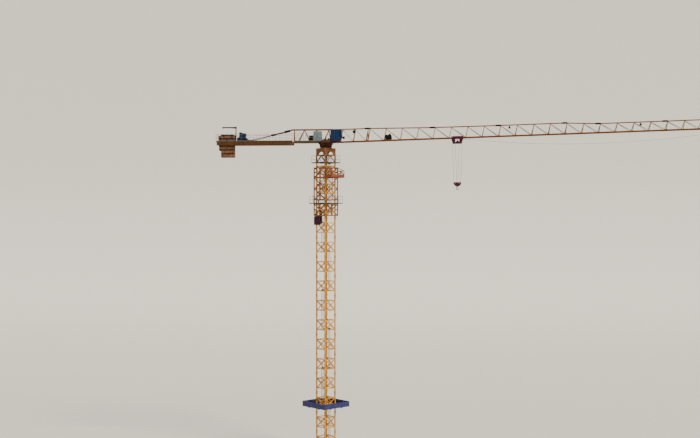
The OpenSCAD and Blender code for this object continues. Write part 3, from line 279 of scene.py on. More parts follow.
@dataclass(frozen=True)
class ZincCoat(Finish):
    """Hot-dip galvanised steel, dull with age: a faint patchwork of zinc crystals."""

    stain: str = "#5d5548"
    stain_mm: float = 40.0
    # At this scale real crystals are under 1 mm. They are drawn coarser, so that they show.
    crystal_mm: float = 3.0

    def pattern(self, tree: bpy.types.NodeTree) -> dict:
        """Makes the stains and the crystals' small differences of gloss.

        Args:
            tree: The material's node tree.

        Returns:
            What goes into the shader's sockets, by name.
        """
        place = add_node(tree, "ShaderNodeTexCoord").outputs["Object"]
        cells = add_node(tree, "ShaderNodeTexVoronoi",
                         {"Vector": place, "Scale": per_metre(self.crystal_mm)})
        stain = add_node(tree, "ShaderNodeTexNoise",
                         {"Vector": place, "Scale": per_metre(self.stain_mm), "Detail": 5.0})
        shade = add_node(tree, "ShaderNodeMapRange",
                         {0: stain.outputs[0], 1: 0.35, 2: 0.7, 3: 0.0, 4: 0.6})
        gloss = add_node(tree, "ShaderNodeMapRange",
                         {0: cells.outputs["Distance"], 1: 0.0, 2: 1.0,
                          3: self.roughness - 0.1, 4: self.roughness + 0.2})
        return {"Base Color": layered(tree, self.colour, (shade.outputs[0], self.stain)),
                "Roughness": gloss.outputs[0]}


@dataclass(frozen=True)
class DeckPlate(Finish):
    """Rolled tread plate under old paint: crossed raised bars, worn bright on top, dirt between."""

    dirt: str = "#30261b"
    dirt_mm: float = 45.0
    # Real bars would be 3 mm apart at this scale. They are drawn coarser, so that they show.
    tread_mm: float = 8.0

    def pattern(self, tree: bpy.types.NodeTree) -> dict:
        """Makes the raised bars and the dirt between them.

        Args:
            tree: The material's node tree.

        Returns:
            What goes into the shader's sockets, by name.
        """
        place = add_node(tree, "ShaderNodeTexCoord").outputs["Object"]
        grids = []
        for turn in (45, -45):
            aim = add_node(tree, "ShaderNodeMapping",
                           {"Vector": place, "Rotation": (0.0, 0.0, math.radians(turn))})
            wave = add_node(tree, "ShaderNodeTexWave",
                            {"Vector": aim.outputs[0],
                             "Scale": per_metre(self.tread_mm) / math.tau}, bands_direction="X")
            grids.append(wave.outputs["Fac"])
        tread = add_node(tree, "ShaderNodeMath", {0: grids[0], 1: grids[1]}, operation="MAXIMUM")
        raised = add_node(tree, "ShaderNodeMapRange", {0: tread.outputs[0], 1: 0.7, 2: 0.95},
                          interpolation_type="SMOOTHSTEP")
        worn = add_node(tree, "ShaderNodeTexNoise",
                        {"Vector": place, "Scale": per_metre(self.dirt_mm), "Detail": 6.0})
        clean = add_node(tree, "ShaderNodeMath", {0: raised.outputs[0], 1: worn.outputs[0]},
                         operation="MULTIPLY")
        bump = add_node(tree, "ShaderNodeBump",
                        {"Height": raised.outputs[0], "Strength": 0.5, "Distance": 0.0006})
        return {"Base Color": layered(tree, self.dirt, (clean.outputs[0], self.colour)),
                "Normal": bump.outputs[0]}


@dataclass(frozen=True)
class CastConcrete(Finish):
    """Concrete cast in steel moulds, with sandy grain, pin holes and rust-brown stains.

    The dark rows where the grooves cross the slabs are painted shade in the grooves.
    """

    stain: str = "#4f3526"
    pale: str = "#a98f70"
    # The colour of the painted shade in the grooves.
    groove_shade: str = "#24120a"
    # Real sand would be finer than 0.5 mm at this scale. It is drawn coarser, so that it shows.
    grain_mm: float = 1.5
    hole_mm: float = 9.0
    stain_mm: float = 26.0
    groove_gap: float = 58.0
    groove_z: float = 4624.0
    groove_sway: float = 24.0

    def pattern(self, tree: bpy.types.NodeTree) -> dict:
        """Makes stains, pale washed patches, the rows of painted shade in the grooves, grain and
        pin holes.

        Args:
            tree: The material's node tree.

        Returns:
            What goes into the shader's sockets, by name.
        """
        place = add_node(tree, "ShaderNodeTexCoord").outputs["Object"]
        falling = add_node(tree, "ShaderNodeMapping", {"Vector": place, "Scale": (1.0, 1.0, 0.3)})
        stains = blotches(tree, falling.outputs[0], self.stain_mm, 7.0, (0.42, 0.62, 0.85))
        washed = add_node(tree, "ShaderNodeTexNoise",
                          {"Vector": place, "Scale": per_metre(self.stain_mm * 2), "Detail": 3.0})
        pale = add_node(tree, "ShaderNodeMapRange",
                        {0: washed.outputs[0], 1: 0.5, 2: 0.7, 3: 0.0, 4: 0.7},
                        interpolation_type="SMOOTHSTEP")
        grain = add_node(tree, "ShaderNodeTexNoise",
                         {"Vector": place, "Scale": per_metre(self.grain_mm), "Detail": 4.0})
        holes = add_node(tree, "ShaderNodeTexVoronoi",
                         {"Vector": place, "Scale": per_metre(self.hole_mm)})
        pin = add_node(tree, "ShaderNodeMapRange", {0: holes.outputs["Distance"], 1: 0.06, 2: 0.12})
        height = add_node(tree, "ShaderNodeMath", {0: grain.outputs[0], 1: pin.outputs[0]},
                          operation="MULTIPLY")
        bump = add_node(tree, "ShaderNodeBump",
                        {"Height": height.outputs[0], "Strength": 0.5, "Distance": 0.0006})
        level = add_node(tree, "ShaderNodeSeparateXYZ", {0: place})
        sway = add_node(tree, "ShaderNodeMath",
                        {0: washed.outputs[0], 1: self.groove_sway * MM,
                         2: -(self.groove_z + self.groove_sway / 2) * MM}, operation="MULTIPLY_ADD")
        above = add_node(tree, "ShaderNodeMath", {0: level.outputs[2], 1: sway.outputs[0]},
                         operation="ADD")
        turn = add_node(tree, "ShaderNodeMath",
                        {0: above.outputs[0], 1: math.tau / (self.groove_gap * MM)},
                        operation="MULTIPLY")
        rows = add_node(tree, "ShaderNodeMath", {0: turn.outputs[0]}, operation="COSINE")
        # Painted shade: dark rows where the grooves cross the slabs, swaying a little.
        groove_shade_rows = add_node(tree, "ShaderNodeMapRange",
                           {0: rows.outputs[0], 1: 0.1, 2: 0.75, 3: 0.0, 4: 0.9},
                           interpolation_type="SMOOTHSTEP")
        colour = layered(tree, self.colour, (pale.outputs[0], self.pale), (stains, self.stain),
                         (groove_shade_rows.outputs[0], self.groove_shade))
        return {"Base Color": colour, "Normal": bump.outputs[0]}


@dataclass(frozen=True)
class MachineMetal(Finish):
    """Bare or greased iron and steel: turning marks, oil patches and a dull shine."""

    oil: str = "#1c1a18"
    oil_mm: float = 12.0
    # Real turning marks are far under 1 mm. They are drawn coarser, so that they show.
    turned_mm: float = 1.2

    def pattern(self, tree: bpy.types.NodeTree) -> dict:
        """Makes oil patches and fine scratches.

        Args:
            tree: The material's node tree.

        Returns:
            What goes into the shader's sockets, by name.
        """
        place = add_node(tree, "ShaderNodeTexCoord").outputs["Object"]
        oily = blotches(tree, place, self.oil_mm, 5.0, (0.42, 0.6, 0.8))
        marks = add_node(tree, "ShaderNodeTexNoise",
                         {"Vector": place, "Scale": per_metre(self.turned_mm), "Detail": 3.0})
        gloss = add_node(tree, "ShaderNodeMapRange",
                         {0: marks.outputs[0], 1: 0.3, 2: 0.7,
                          3: self.roughness - 0.1, 4: self.roughness + 0.15})
        bump = add_node(tree, "ShaderNodeBump",
                        {"Height": marks.outputs[0], "Strength": 0.2, "Distance": 0.0002})
        return {"Base Color": layered(tree, self.colour, (oily, self.oil)),
                "Roughness": gloss.outputs[0], "Normal": bump.outputs[0]}


@dataclass(frozen=True)
class StrandedWire(Finish):
    """Greased steel rope: six strands laid in a slant, dark in the valleys."""

    valley: str = "#171513"
    lay_mm: float = 3.2
    slant: float = 0.6

    def pattern(self, tree: bpy.types.NodeTree) -> dict:
        """Makes the slanting bands of the strands.

        Args:
            tree: The material's node tree.

        Returns:
            What goes into the shader's sockets, by name.
        """
        place = add_node(tree, "ShaderNodeTexCoord").outputs["Object"]
        aim = add_node(tree, "ShaderNodeMapping",
                       {"Vector": place, "Rotation": (0.3, self.slant, 0.5)})
        strands = add_node(tree, "ShaderNodeTexWave",
                           {"Vector": aim.outputs[0], "Scale": per_metre(self.lay_mm) / math.tau,
                            "Distortion": 0.4}, bands_direction="X").outputs["Fac"]
        bump = add_node(tree, "ShaderNodeBump",
                        {"Height": strands, "Strength": 0.6, "Distance": 0.0004})
        return {"Base Color": layered(tree, self.valley, (strands, self.colour)),
                "Normal": bump.outputs[0]}


@dataclass(frozen=True)
class TintedGlass(Finish):
    """Toughened cab glass with a blue tint: clear and glossy, with a film of dust."""

    film: str = "#10345e"
    film_mm: float = 25.0
    clearness: float = 0.15

    def pattern(self, tree: bpy.types.NodeTree) -> dict:
        """Makes the film of dust, and lets some light through.

        Args:
            tree: The material's node tree.

        Returns:
            What goes into the shader's sockets, by name.
        """
        place = add_node(tree, "ShaderNodeTexCoord").outputs["Object"]
        film = add_node(tree, "ShaderNodeTexNoise",
                        {"Vector": place, "Scale": per_metre(self.film_mm), "Detail": 5.0})
        gloss = add_node(tree, "ShaderNodeMapRange",
                         {0: film.outputs[0], 1: 0.4, 2: 0.75, 3: self.roughness, 4: 0.3})
        return {"Base Color": layered(tree, self.colour, (film.outputs[0], self.film)),
                "Roughness": gloss.outputs[0], "Transmission Weight": self.clearness, "IOR": 1.52}


@dataclass(frozen=True)
class MouldedRubber(Finish):
    """Black EPDM rubber: matt, slightly chalky from the sun."""

    bloom: str = "#3c3c3a"
    bloom_mm: float = 6.0

    def pattern(self, tree: bpy.types.NodeTree) -> dict:
        """Makes the chalky bloom.

        Args:
            tree: The material's node tree.

        Returns:
            What goes into the shader's sockets, by name.
        """
        place = add_node(tree, "ShaderNodeTexCoord").outputs["Object"]
        bloom = add_node(tree, "ShaderNodeTexNoise",
                         {"Vector": place, "Scale": per_metre(self.bloom_mm), "Detail": 5.0})
        return {"Base Color": layered(tree, self.colour, (bloom.outputs[0], self.bloom))}


@dataclass(frozen=True)
class LampLens(Finish):
    """Moulded polycarbonate lens of a lamp, ribbed inside."""

    rib: str = "#ffffff"
    rib_mm: float = 2.0

    def pattern(self, tree: bpy.types.NodeTree) -> dict:
        """Makes the ribs.

        Args:
            tree: The material's node tree.

        Returns:
            What goes into the shader's sockets, by name.
        """
        place = add_node(tree, "ShaderNodeTexCoord").outputs["Object"]
        ribs = add_node(tree, "ShaderNodeTexWave",
                        {"Vector": place, "Scale": per_metre(self.rib_mm) / math.tau},
                        bands_direction="Z")
        return {"Base Color": layered(tree, self.colour, (ribs.outputs["Fac"], self.rib))}


# The finish of each material slot that the record names, and of the coats below.
FINISHES: dict[str, Finish] = {
    "mast_paint": SitePaint("mast_yellow_enamel", "#cf8d10", faded="#d6a02c",
                            dust_colour="#9a7845", grime_colour="#452a10", grime=0.55),
    # Painted shade: the jib's coat, its dust and its streaks are far darker than its orange paint,
    # for a jib that stands in shade against the light.
    "jib_paint": SitePaint("jib_enamel_painted_shade", "#6a3a12", 0.6, specular=0.15, faded="#784820",
                           dust_colour="#3f372b", grime_colour="#14100c", grime=0.75),
    "galvanised_steel": ZincCoat("galvanised_tube", "#777970", 0.5, 0.6),
    "deck_steel": DeckPlate("tread_plate", "#4a3c2e", 0.65, 0.2),
    "board_paint": SitePaint("navy_board_enamel", "#171c5c", 0.45, faded="#242b74",
                             dust_colour="#5c5a70", dust=0.3, grime=0.3, chips=0.7),
    "roller_iron": MachineMetal("greased_cast_iron", "#3b3937", 0.5, 0.8),
    "intake_paint": SitePaint("intake_red_lead_primer", "#7d3a20", 0.6, faded="#8a4a30"),
    "ram_steel": SitePaint("ram_grey_enamel", "#5a5c60", 0.4, faded="#6e7074", grime=0.5),
    "maroon_paint": SitePaint("maroon_enamel", "#3a0823", specular=0.2, faded="#48142e",
                              dust_colour="#4b2c3a", dust=0.2),
    "slewing_paint": SitePaint("red_brown_oxide", "#40180c", 0.6, specular=0.2, faded="#4e2614",
                               dust_colour="#5e4430", dust=0.35),
    "motor_paint": SitePaint("machine_navy_enamel", "#0b1c3c", 0.45, specular=0.2, faded="#182946",
                             dust_colour="#353d4c", dust=0.25, grime=0.4, chips=0.7),
    "cab_paint": SitePaint("cab_navy_enamel", "#06204a", 0.35, specular=0.25, faded="#0c2c5a",
                           dust_colour="#34465c", dust=0.25, grime=0.3, chips=0.72),
    "cab_glass": TintedGlass("tinted_safety_glass", "#071f46", 0.05),
    "cabinet_paint": SitePaint("cabinet_grey_powder", "#687a84", faded="#78898f",
                               grime=0.35, chips=0.72),
    "black_enamel": SitePaint("black_stove_enamel", "#0a0c0f", specular=0.15, faded="#131518",
                              dust_colour="#2c2b28", dust=0.2, grime=0.3, chips=0.72),
    "tie_paint": SitePaint("tie_red_oxide", "#421a26", 0.55, specular=0.2, faded="#522834",
                           dust_colour="#5e4a44"),
    "drum_steel": MachineMetal("drum_steel", "#8d8b84", 0.4, 0.9, oil="#3a342c"),
    "concrete": CastConcrete("cast_concrete", "#7a5337", 0.9, stain="#46291a", pale="#9b734f"),
    "wire_rope": StrandedWire("stranded_rope", "#33312e", 0.5, 0.5),
    "hook_iron": MachineMetal("forged_iron", "#45413e", 0.45, 0.8),
    # Darker copies of the mast's orange: painted shade on the climbing frame, the slewing base, the
    # head and the counter-jib's beams.
    "frame_paint": SitePaint("climbing_frame_enamel_painted_shade", "#8f4e0e", faded="#995e26",
                             dust_colour="#806040", grime_colour="#341c0c"),
    "base_paint": SitePaint("slewing_base_enamel_painted_shade", "#7c4a1a", faded="#8a5a2a",
                            dust_colour="#6f563a", grime_colour="#2e1a0c"),
    "head_paint": SitePaint("head_frame_enamel_painted_shade", "#6f4f1f", 0.55, faded="#7c5c2c",
                            dust_colour="#6f5a3c", grime_colour="#2c1c10"),
    "beam_paint": SitePaint("counter_jib_enamel_painted_shade", "#754a1e", 0.6, faded="#845a2e",
                            dust_colour="#7c623e", grime_colour="#38220f"),
}
# Nodes whose coat differs from that of their slot. The davit's parts take the machine navy. The
# climbing frame, the slewing base, the head and the counter-jib's beams take darker browns of the
# mast's orange, as painted shade.
COATS = {"davit_post": "motor_paint", "davit_arm": "motor_paint", "counter_jib_beams": "beam_paint",
         "slewing_base": "base_paint", "head_frame": "head_paint", "cage_posts": "frame_paint",
         "cage_side_intake": "frame_paint", "cage_side_left": "frame_paint",
         "cage_side_ram": "frame_paint", "cage_side_right": "frame_paint"}
RUBBER = MouldedRubber("epdm_rubber", "#1a1a1a", 0.8)
WHITE_LENS = LampLens("opal_lens", "#d9dde0", 0.3)
SMOKED_LENS = LampLens("smoked_lens", "#2a2f36", 0.3, specular=0.3, rib="#454b53")
BRIGHT_ZINC = ZincCoat("zinc_plated_bolt", "#8c8b83", 0.35, 0.85)


def turned(degrees: float, axis: str = "Z") -> Matrix:
    """A turn about one of the axes, in degrees."""
    return Matrix.Rotation(math.radians(degrees), 4, axis)


def moved(x: float = 0.0, y: float = 0.0, z: float = 0.0) -> Matrix:
    """A move, in millimetres."""
    return Matrix.Translation((x, y, z))


def mast_face(side: int) -> Matrix:
    """The turn to one of the mast's four faces, with X pointing out of it."""
    return turned(MAST_TURN + 90 * side)


def aimed(start: Vector, end: Vector) -> Matrix:
    """A place on a line between two points.

    Args:
        start: Where the place is.
        end: What its X axis points to. Its Y axis stays level.

    Returns:
        The place.
    """
    way = (end - start).normalized()
    level = Vector((0, 0, 1)).cross(way).normalized()
    turn = Matrix((way, level, way.cross(level))).transposed().to_4x4()
    return Matrix.Translation(start) @ turn


def corners_of(node: str) -> list[Vector]:
    """The low and the high corner of a node's box, in millimetres."""
    return [Vector(corner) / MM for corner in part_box(node)]


def foot_of(node: str) -> float:
    """The height of a node's underside, in millimetres."""
    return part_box(node)[0][2] / MM


def top_of(node: str) -> float:
    """The height of a node's top, in millimetres."""
    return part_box(node)[1][2] / MM


def circle(centre: Vector, across: Vector, side: Vector, radius: float,
           count: int) -> list[Vector]:
    """Points round a circle.

    Args:
        centre: Its centre.
        across: The direction of the first point.
        side: The direction of the point a quarter turn on.
        radius: Its radius.
        count: How many points it has.

    Returns:
        The points in order.
    """
    turns = [math.tau * k / count for k in range(count)]
    return [centre + (across * math.cos(t) + side * math.sin(t)) * radius for t in turns]


# The faces of a box whose four lower corners are numbered before its four upper ones.
BOX_FACES = ((0, 3, 2, 1), (4, 5, 6, 7), (0, 1, 5, 4), (1, 2, 6, 5), (2, 3, 7, 6), (3, 0, 4, 7))


class Pieces:
    """Gathers small shapes, in millimetres, into one joined mesh."""

    def __init__(self, name: str, place: Matrix | None = None) -> None:
        """Starts an empty mesh.

        Args:
            name: The piece's name.
            place: Where shapes are added, until it is set anew. The origin if there is none.
        """
        self.name = name
        self.mesh = bmesh.new()
        self.place = Matrix.Identity(4) if place is None else place

    def faces(self, points: Iterable[Point], rings: Iterable[Sequence[int]]) -> None:
        """Adds faces between points.

        Args:
            points: The corners.
            rings: The numbers of each face's corners.
        """
        made = [self.mesh.verts.new((self.place @ Vector(p)) * MM) for p in points]
        for ring in rings:
            self.mesh.faces.new([made[i] for i in ring])

    def box(self, low: Point, high: Point) -> None:
        """Adds a box with its faces along the axes.

        Args:
            low: Its lowest corner.
            high: Its highest corner.
        """
        (a, b, c), (d, e, f) = low, high
        floor = ((a, b), (d, b), (d, e), (a, e))
        self.faces([(x, y, z) for z in (c, f) for x, y in floor], BOX_FACES)

    def skin(self, points: Sequence[Vector], sides: int) -> None:
        """Adds a closed skin over loops of points, with flat ends.

        Args:
            points: The loops' points, one loop after another.
            sides: How many points each loop has.
        """
        last = len(points) // sides - 1
        walls = [(i * sides + k, i * sides + (k + 1) % sides,
                  (i + 1) * sides + (k + 1) % sides, (i + 1) * sides + k)
                 for i in range(last) for k in range(sides)]
        ends = [tuple(range(sides - 1, -1, -1)), tuple(last * sides + k for k in range(sides))]
        self.faces(points, walls + ends)

    def tube(self, path: Sequence[Point], radius: float, sides: int = 12) -> None:
        """Sweeps a round bar along a path, with flat ends.

        Args:
            path: The middle line.
            radius: The bar's radius.
            sides: Faces around it.
        """
        line = [Vector(p) for p in path]
        last = len(line) - 1
        across = (line[1] - line[0]).normalized().orthogonal().normalized()
        points = []
        for i, centre in enumerate(line):
            heading = (line[min(i + 1, last)] - line[max(i - 1, 0)]).normalized()
            across = (across - heading * across.dot(heading)).normalized()
            points += circle(centre, across, heading.cross(across), radius, sides)
        self.skin(points, sides)

    def turned_shape(self, centre: Point, axis: Point, outline: Outline, sides: int = 24) -> None:
        """Turns an outline round an axis.

        Args:
            centre: Where the axis starts.
            axis: Its direction.
            outline: Distances along the axis, each with its radius.
            sides: Faces around it.
        """
        base, way = Vector(centre), Vector(axis).normalized()
        across = way.orthogonal().normalized()
        points = []
        for along, radius in outline:
            points += circle(base + way * along, across, way.cross(across), radius, sides)
        self.skin(points, sides)

    def ring(self, centre: Point, radius: float, wire: float, sides: int = 40,
             wire_sides: int = 8) -> None:
        """Adds a ring of round wire that lies in the XZ plane.

        Args:
            centre: Its centre.
            radius: From there to the middle of the wire.
            wire: The wire's radius.
            sides: Faces around the ring.
            wire_sides: Faces around the wire.
        """
        base, way = Vector(centre), Vector((0, 1, 0))
        across = way.orthogonal().normalized()
        rolls = [math.tau * k / wire_sides for k in range(wire_sides)]
        points = [base + out * (radius + wire * math.cos(roll)) + way * wire * math.sin(roll)
                  for out in circle(Vector(), across, way.cross(across), 1.0, sides)
                  for roll in rolls]
        self.faces(points, [(i * wire_sides + k, (i + 1) % sides * wire_sides + k,
                             (i + 1) % sides * wire_sides + (k + 1) % wire_sides,
                             i * wire_sides + (k + 1) % wire_sides)
                            for i in range(sides) for k in range(wire_sides)])

    def plate(self, outline: Outline, thick: float) -> None:
        """Adds a flat plate in the XY plane, from z = 0 up.

        Args:
            outline: Its corners.
            thick: Its thickness.
        """
        n = len(outline)
        walls = [(i, (i + 1) % n, n + (i + 1) % n, n + i) for i in range(n)]
        self.faces([(x, y, z) for z in (0.0, thick) for x, y in outline],
                   walls + [tuple(range(n - 1, -1, -1)), tuple(range(n, 2 * n))])

    def hex_head(self, centre: Point, axis: Point, radius: float, height: float) -> None:
        """Adds a bolt's head with a washer under it.

        Args:
            centre: Where the washer lies on its seat.
            axis: The way out of the seat.
            radius: Of the head's corners.
            height: Of the head and the washer.
        """
        base, way = Vector(centre), Vector(axis).normalized()
        self.tube([base, base + way * height * WASHER_H], radius * WASHER_R)
        self.tube([base + way * height * WASHER_H, base + way * height], radius, 6)

    def done(self, slot: str, body: Body | None, coat: Finish | None = None,
             replaced: Sequence[str] = (), smooth: bool = False,
             bevel: float = 0.0) -> bpy.types.Object:
        """Makes the object, dresses it and lets it ride.

        Args:
            slot: The record's material slot.
            body: The body that it moves with, or None for a piece that moves with no body.
            coat: Its finish, where that isn't the slot's own.
            replaced: Nodes of the frame that it stands for.
            smooth: Whether its faces are shaded smooth where they meet at a low angle.
            bevel: Width of a bevel on its sharp edges, in millimetres.

        Returns:
            The new object.
        """
        if bevel:
            sharp = [edge for edge in self.mesh.edges
                     if len(edge.link_faces) == 2 and edge.calc_face_angle() > BEVEL_FROM]
            bmesh.ops.bevel(self.mesh, geom=sharp, offset=bevel * MM, segments=2, profile=0.5,
                            affect="EDGES", clamp_overlap=True)
        bmesh.ops.recalc_face_normals(self.mesh, faces=self.mesh.faces)
        data = bpy.data.meshes.new(self.name)
        self.mesh.to_mesh(data)
        self.mesh.free()
        obj = bpy.data.objects.new(self.name, data)
        bpy.context.scene.collection.objects.link(obj)
        data.materials.append((coat or FINISHES[slot]).build())
        if smooth:
            data.polygons.foreach_set("use_smooth", [True] * len(data.polygons))
            data.set_sharp_from_angle(angle=SMOOTH_TO)
        if body:
            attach(obj, body.value)
        if replaced:
            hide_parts(*replaced)
        log.info("%s: %d faces", self.name, len(data.polygons))
        return obj


def corner_plates(parts: Pieces, side: int, at: tuple[float, float], levels: tuple[float, float],
                  outline: Outline, thick: float = 1.2) -> None:
    """Adds gusset plates in the four corners of a panel on one face of the tower.

    Args:
        parts: What they are added to.
        side: The face's number.
        at: How far out they lie, and how far from its middle their corners are.
        levels: The heights of the panel's lower and upper corners.
        outline: A plate's outline, from its corner.
        thick: A plate's thickness.
    """
    for flip_y in (1, -1):
        for flip_z, z in zip((1, -1), levels):
            parts.place = (mast_face(side) @ moved(at[0], -flip_y * at[1], z)
                           @ turned(90, "Y") @ turned(90))
            parts.plate([(flip_y * a, flip_z * b) for a, b in outline], thick)


@dataclass
class Mast:
    """The tower's square lattice, and what its sections are joined with."""

    width: float = 200.0
    leg: float = 16.0
    section: float = 300.0
    base: float = 30.0
    sections: int = 14
    panel: float = 158.0
    brace: float = 11.0
    sleeve: float = 36.0
    sleeve_stand: float = 2.5
    bolt_r: float = 3.2
    bolt_head: float = 3.0
    gusset: float = 30.0
    disc_r: float = 9.0
    disc: float = 1.2
    rung_gap: float = 30.0
    rung_half: float = 18.0
    rung_r: float = 2.1

    def build(self) -> None:
        """Builds the joint bolts, the gussets and the ladders' rungs."""
        self.joint_bolts()
        self.gussets()
        self.ladder_rungs()

    def joint_bolts(self) -> None:
        """Bolt sleeves with their heads and nuts, two on each leg at each joint."""
        parts, tubes = Pieces("mast_joint_bolts"), Pieces("mast_bolt_sleeves")
        off = self.leg / 2 + self.sleeve_stand + self.bolt_r - 0.4
        end = self.sleeve / 2 - 2
        for joint in range(1, self.sections + 1):
            z = self.base + joint * self.section
            for corner in range(4):
                for x, y in ((off, 0.0), (0.0, off)):
                    parts.place = tubes.place = mast_face(corner) @ moved(
                        self.width / 2 + x, self.width / 2 + y, z)
                    for low, high in ((-end, -1), (1, end)):
                        tubes.tube([(0, 0, low), (0, 0, high)], self.bolt_r)
                    for way in (1, -1):
                        parts.hex_head((0, 0, way * end), (0, 0, way), self.bolt_r, self.bolt_head)
                    parts.tube([(0, 0, -end - 6), (0, 0, -end - 1)], self.bolt_r * 0.55, 8)
        parts.done("galvanised_steel", Body.TOWER, BRIGHT_ZINC)
        tubes.done("mast_paint", Body.TOWER, smooth=True)

    def panel_foot(self, section: int) -> float:
        """The height of the lower edge of a section's braced panel."""
        return self.base + section * self.section + (self.section - self.panel) / 2

    def gussets(self) -> None:
        """Plates welded over the ends and the crossing of the bracing."""
        parts = Pieces("mast_gussets")
        inner, out = (self.width - self.leg) / 2, (self.width + self.brace) / 2
        g = self.gusset
        for section in range(self.sections):
            z = self.panel_foot(section)
            for side in range(4):
                corner_plates(parts, side, (out, inner), (z, z + self.panel),
                              [(0, 0), (g, 0), (g * 0.35, g * 0.75), (0, g)])
                parts.place = mast_face(side) @ moved(out, 0, z + self.panel / 2)
                parts.tube([(0, 0, 0), (self.disc, 0, 0)], self.disc_r, 16)
        parts.done("mast_paint", Body.TOWER)

    def ladder_rungs(self) -> None:
        """Round rungs laid over the ladders' flat ones, to give the foot a hold."""
        parts = Pieces("ladder_rungs")
        reach = self.width / 2 - self.leg - 14
        runs = self.sections // 2
        for run in range(runs):
            z0 = self.panel_foot(2 * run) + 3.3 if run else foot_of("mast_ladders")
            z1 = z0 + 2 * self.section if run < runs - 1 else top_of("mast_ladders")
            parts.place = turned(MAST_TURN) @ moved(-reach if run % 2 else reach)
            for rung in range(1, int((z1 - z0) / self.rung_gap)):
                z = z0 + rung * self.rung_gap + 1.75
                parts.tube([(0, -self.rung_half, z), (0, self.rung_half, z)], self.rung_r, 8)
        parts.done("galvanised_steel", Body.TOWER, smooth=True)


@dataclass
class GuardPlatform:
    """The battens that stiffen the boards round the lower platform, and the posts behind them."""

    outer: float = 510.0
    height: float = 80.0
    rim: float = 4.0
    stand: float = 3.3
    post: float = 4.0

    def build(self) -> None:
        """Builds the rims and posts of the boards."""
        rims, posts = Pieces("guard_board_rims"), Pieces("guard_board_posts")
        foot = foot_of("guard_boards")
        top = foot + self.height
        half, rim = self.outer / 2, self.rim
        out = half + self.stand
        for side in range(4):
            rims.place = posts.place = mast_face(side)
            for low, high in ((foot, foot + rim), (top - rim, top)):
                rims.box((out, -half, low), (out + 1.2, half, high))
            for y in (-half, -half / 3 - 2, half / 3 - 2, half - rim):
                rims.box((out, y, foot + rim), (out + 1.0, y + rim, top - rim))
            for y in (-half / 2, 0, half / 2):
                posts.box((half - self.post, y - 2, foot + 4.1), (half, y + 2, top - 2))
                for z in (top - 12, foot + 14):
                    posts.hex_head((half + 3.4, y, z), (1, 0, 0), 1.8, 1.6)
        rims.done("board_paint", Body.TOWER, bevel=0.3)
        posts.done("galvanised_steel", Body.TOWER)


@dataclass
class ClimbingFrame:
    """The frame that lifts the crane's top when a section is added."""

    width: float = 270.0
    post: float = 13.0
    gusset: float = 22.0
    gusset_in: float = 14.0
    bolt_in: float = 7.0
    ram_x: float = 169.0
    guard_in: float = 119.0
    guard_out: float = 131.0
    yoke_out: float = 186.0
    yoke_half: float = 56.0

    def build(self) -> None:
        """Builds the frame's gussets and bolts, the ram's fittings and the yoke's guard."""
        parts, bolts = Pieces("cage_gussets"), Pieces("cage_bolts")
        low, high = foot_of("cage_posts"), top_of("cage_posts")
        out = self.width / 2
        inner = out - self.post
        g = self.gusset
        for side in range(4):
            corner_plates(parts, side, (out - self.post / 2 + 5, inner),
                          (low + self.gusset_in, high - self.gusset_in), [(0, 0), (g, 0), (0, g)])
            bolts.place = mast_face(side)
            for z in (low + self.bolt_in, high - self.bolt_in):
                for y in (-inner - 6, inner + 6):
                    bolts.hex_head((out, y, z), (1, 0, 0), 2.4, 2.2)
        parts.done("mast_paint", Body.TOWER, FINISHES["frame_paint"])
        bolts.done("galvanised_steel", Body.TOWER, BRIGHT_ZINC)
        self.ram_fittings()
        self.yoke_guard()

    def ram_fittings(self) -> None:
        """The ram's end rings and its two hose unions."""
        parts = Pieces("ram_fittings", mast_face(1))
        x, top = self.ram_x, top_of("climbing_ram") - 2
        for z in (top - 150, top - 12):
            parts.turned_shape((x, 0, z), (0, 0, 1), [(0, 10.2), (6, 10.2)], 32)
        for z in (top - 138, top - 24):
            parts.turned_shape((x, 9, z), (0, 1, 0), [(-1, 3.0), (3, 3.0), (3, 2.0), (7, 2.0)], 12)
        parts.done("ram_steel", Body.TOWER, smooth=True)

    def yoke_guard(self) -> None:
        """The guard box that goes on from the yoke round the tower's left leg."""
        guard = Pieces("yoke_guard", mast_face(1))
        low, high = foot_of("climbing_yoke") - 14, foot_of("cage_posts") - 6
        inner, outer, start = self.guard_in, self.guard_out, self.yoke_half + 0.3
        guard.box((outer, start, low), (self.yoke_out, self.yoke_half + 12, high))
        guard.box((inner, start, low), (outer, outer, high))
        guard.place = mast_face(2)
        guard.box((inner, -inner + 0.3, low), (outer, 18, high))
        for z in (low + 30, high - 32):
            guard.box((outer, -outer + 4, z), (outer + 2.5, 16, z + 6))
        guard.done("maroon_paint", Body.TOWER, bevel=0.8)


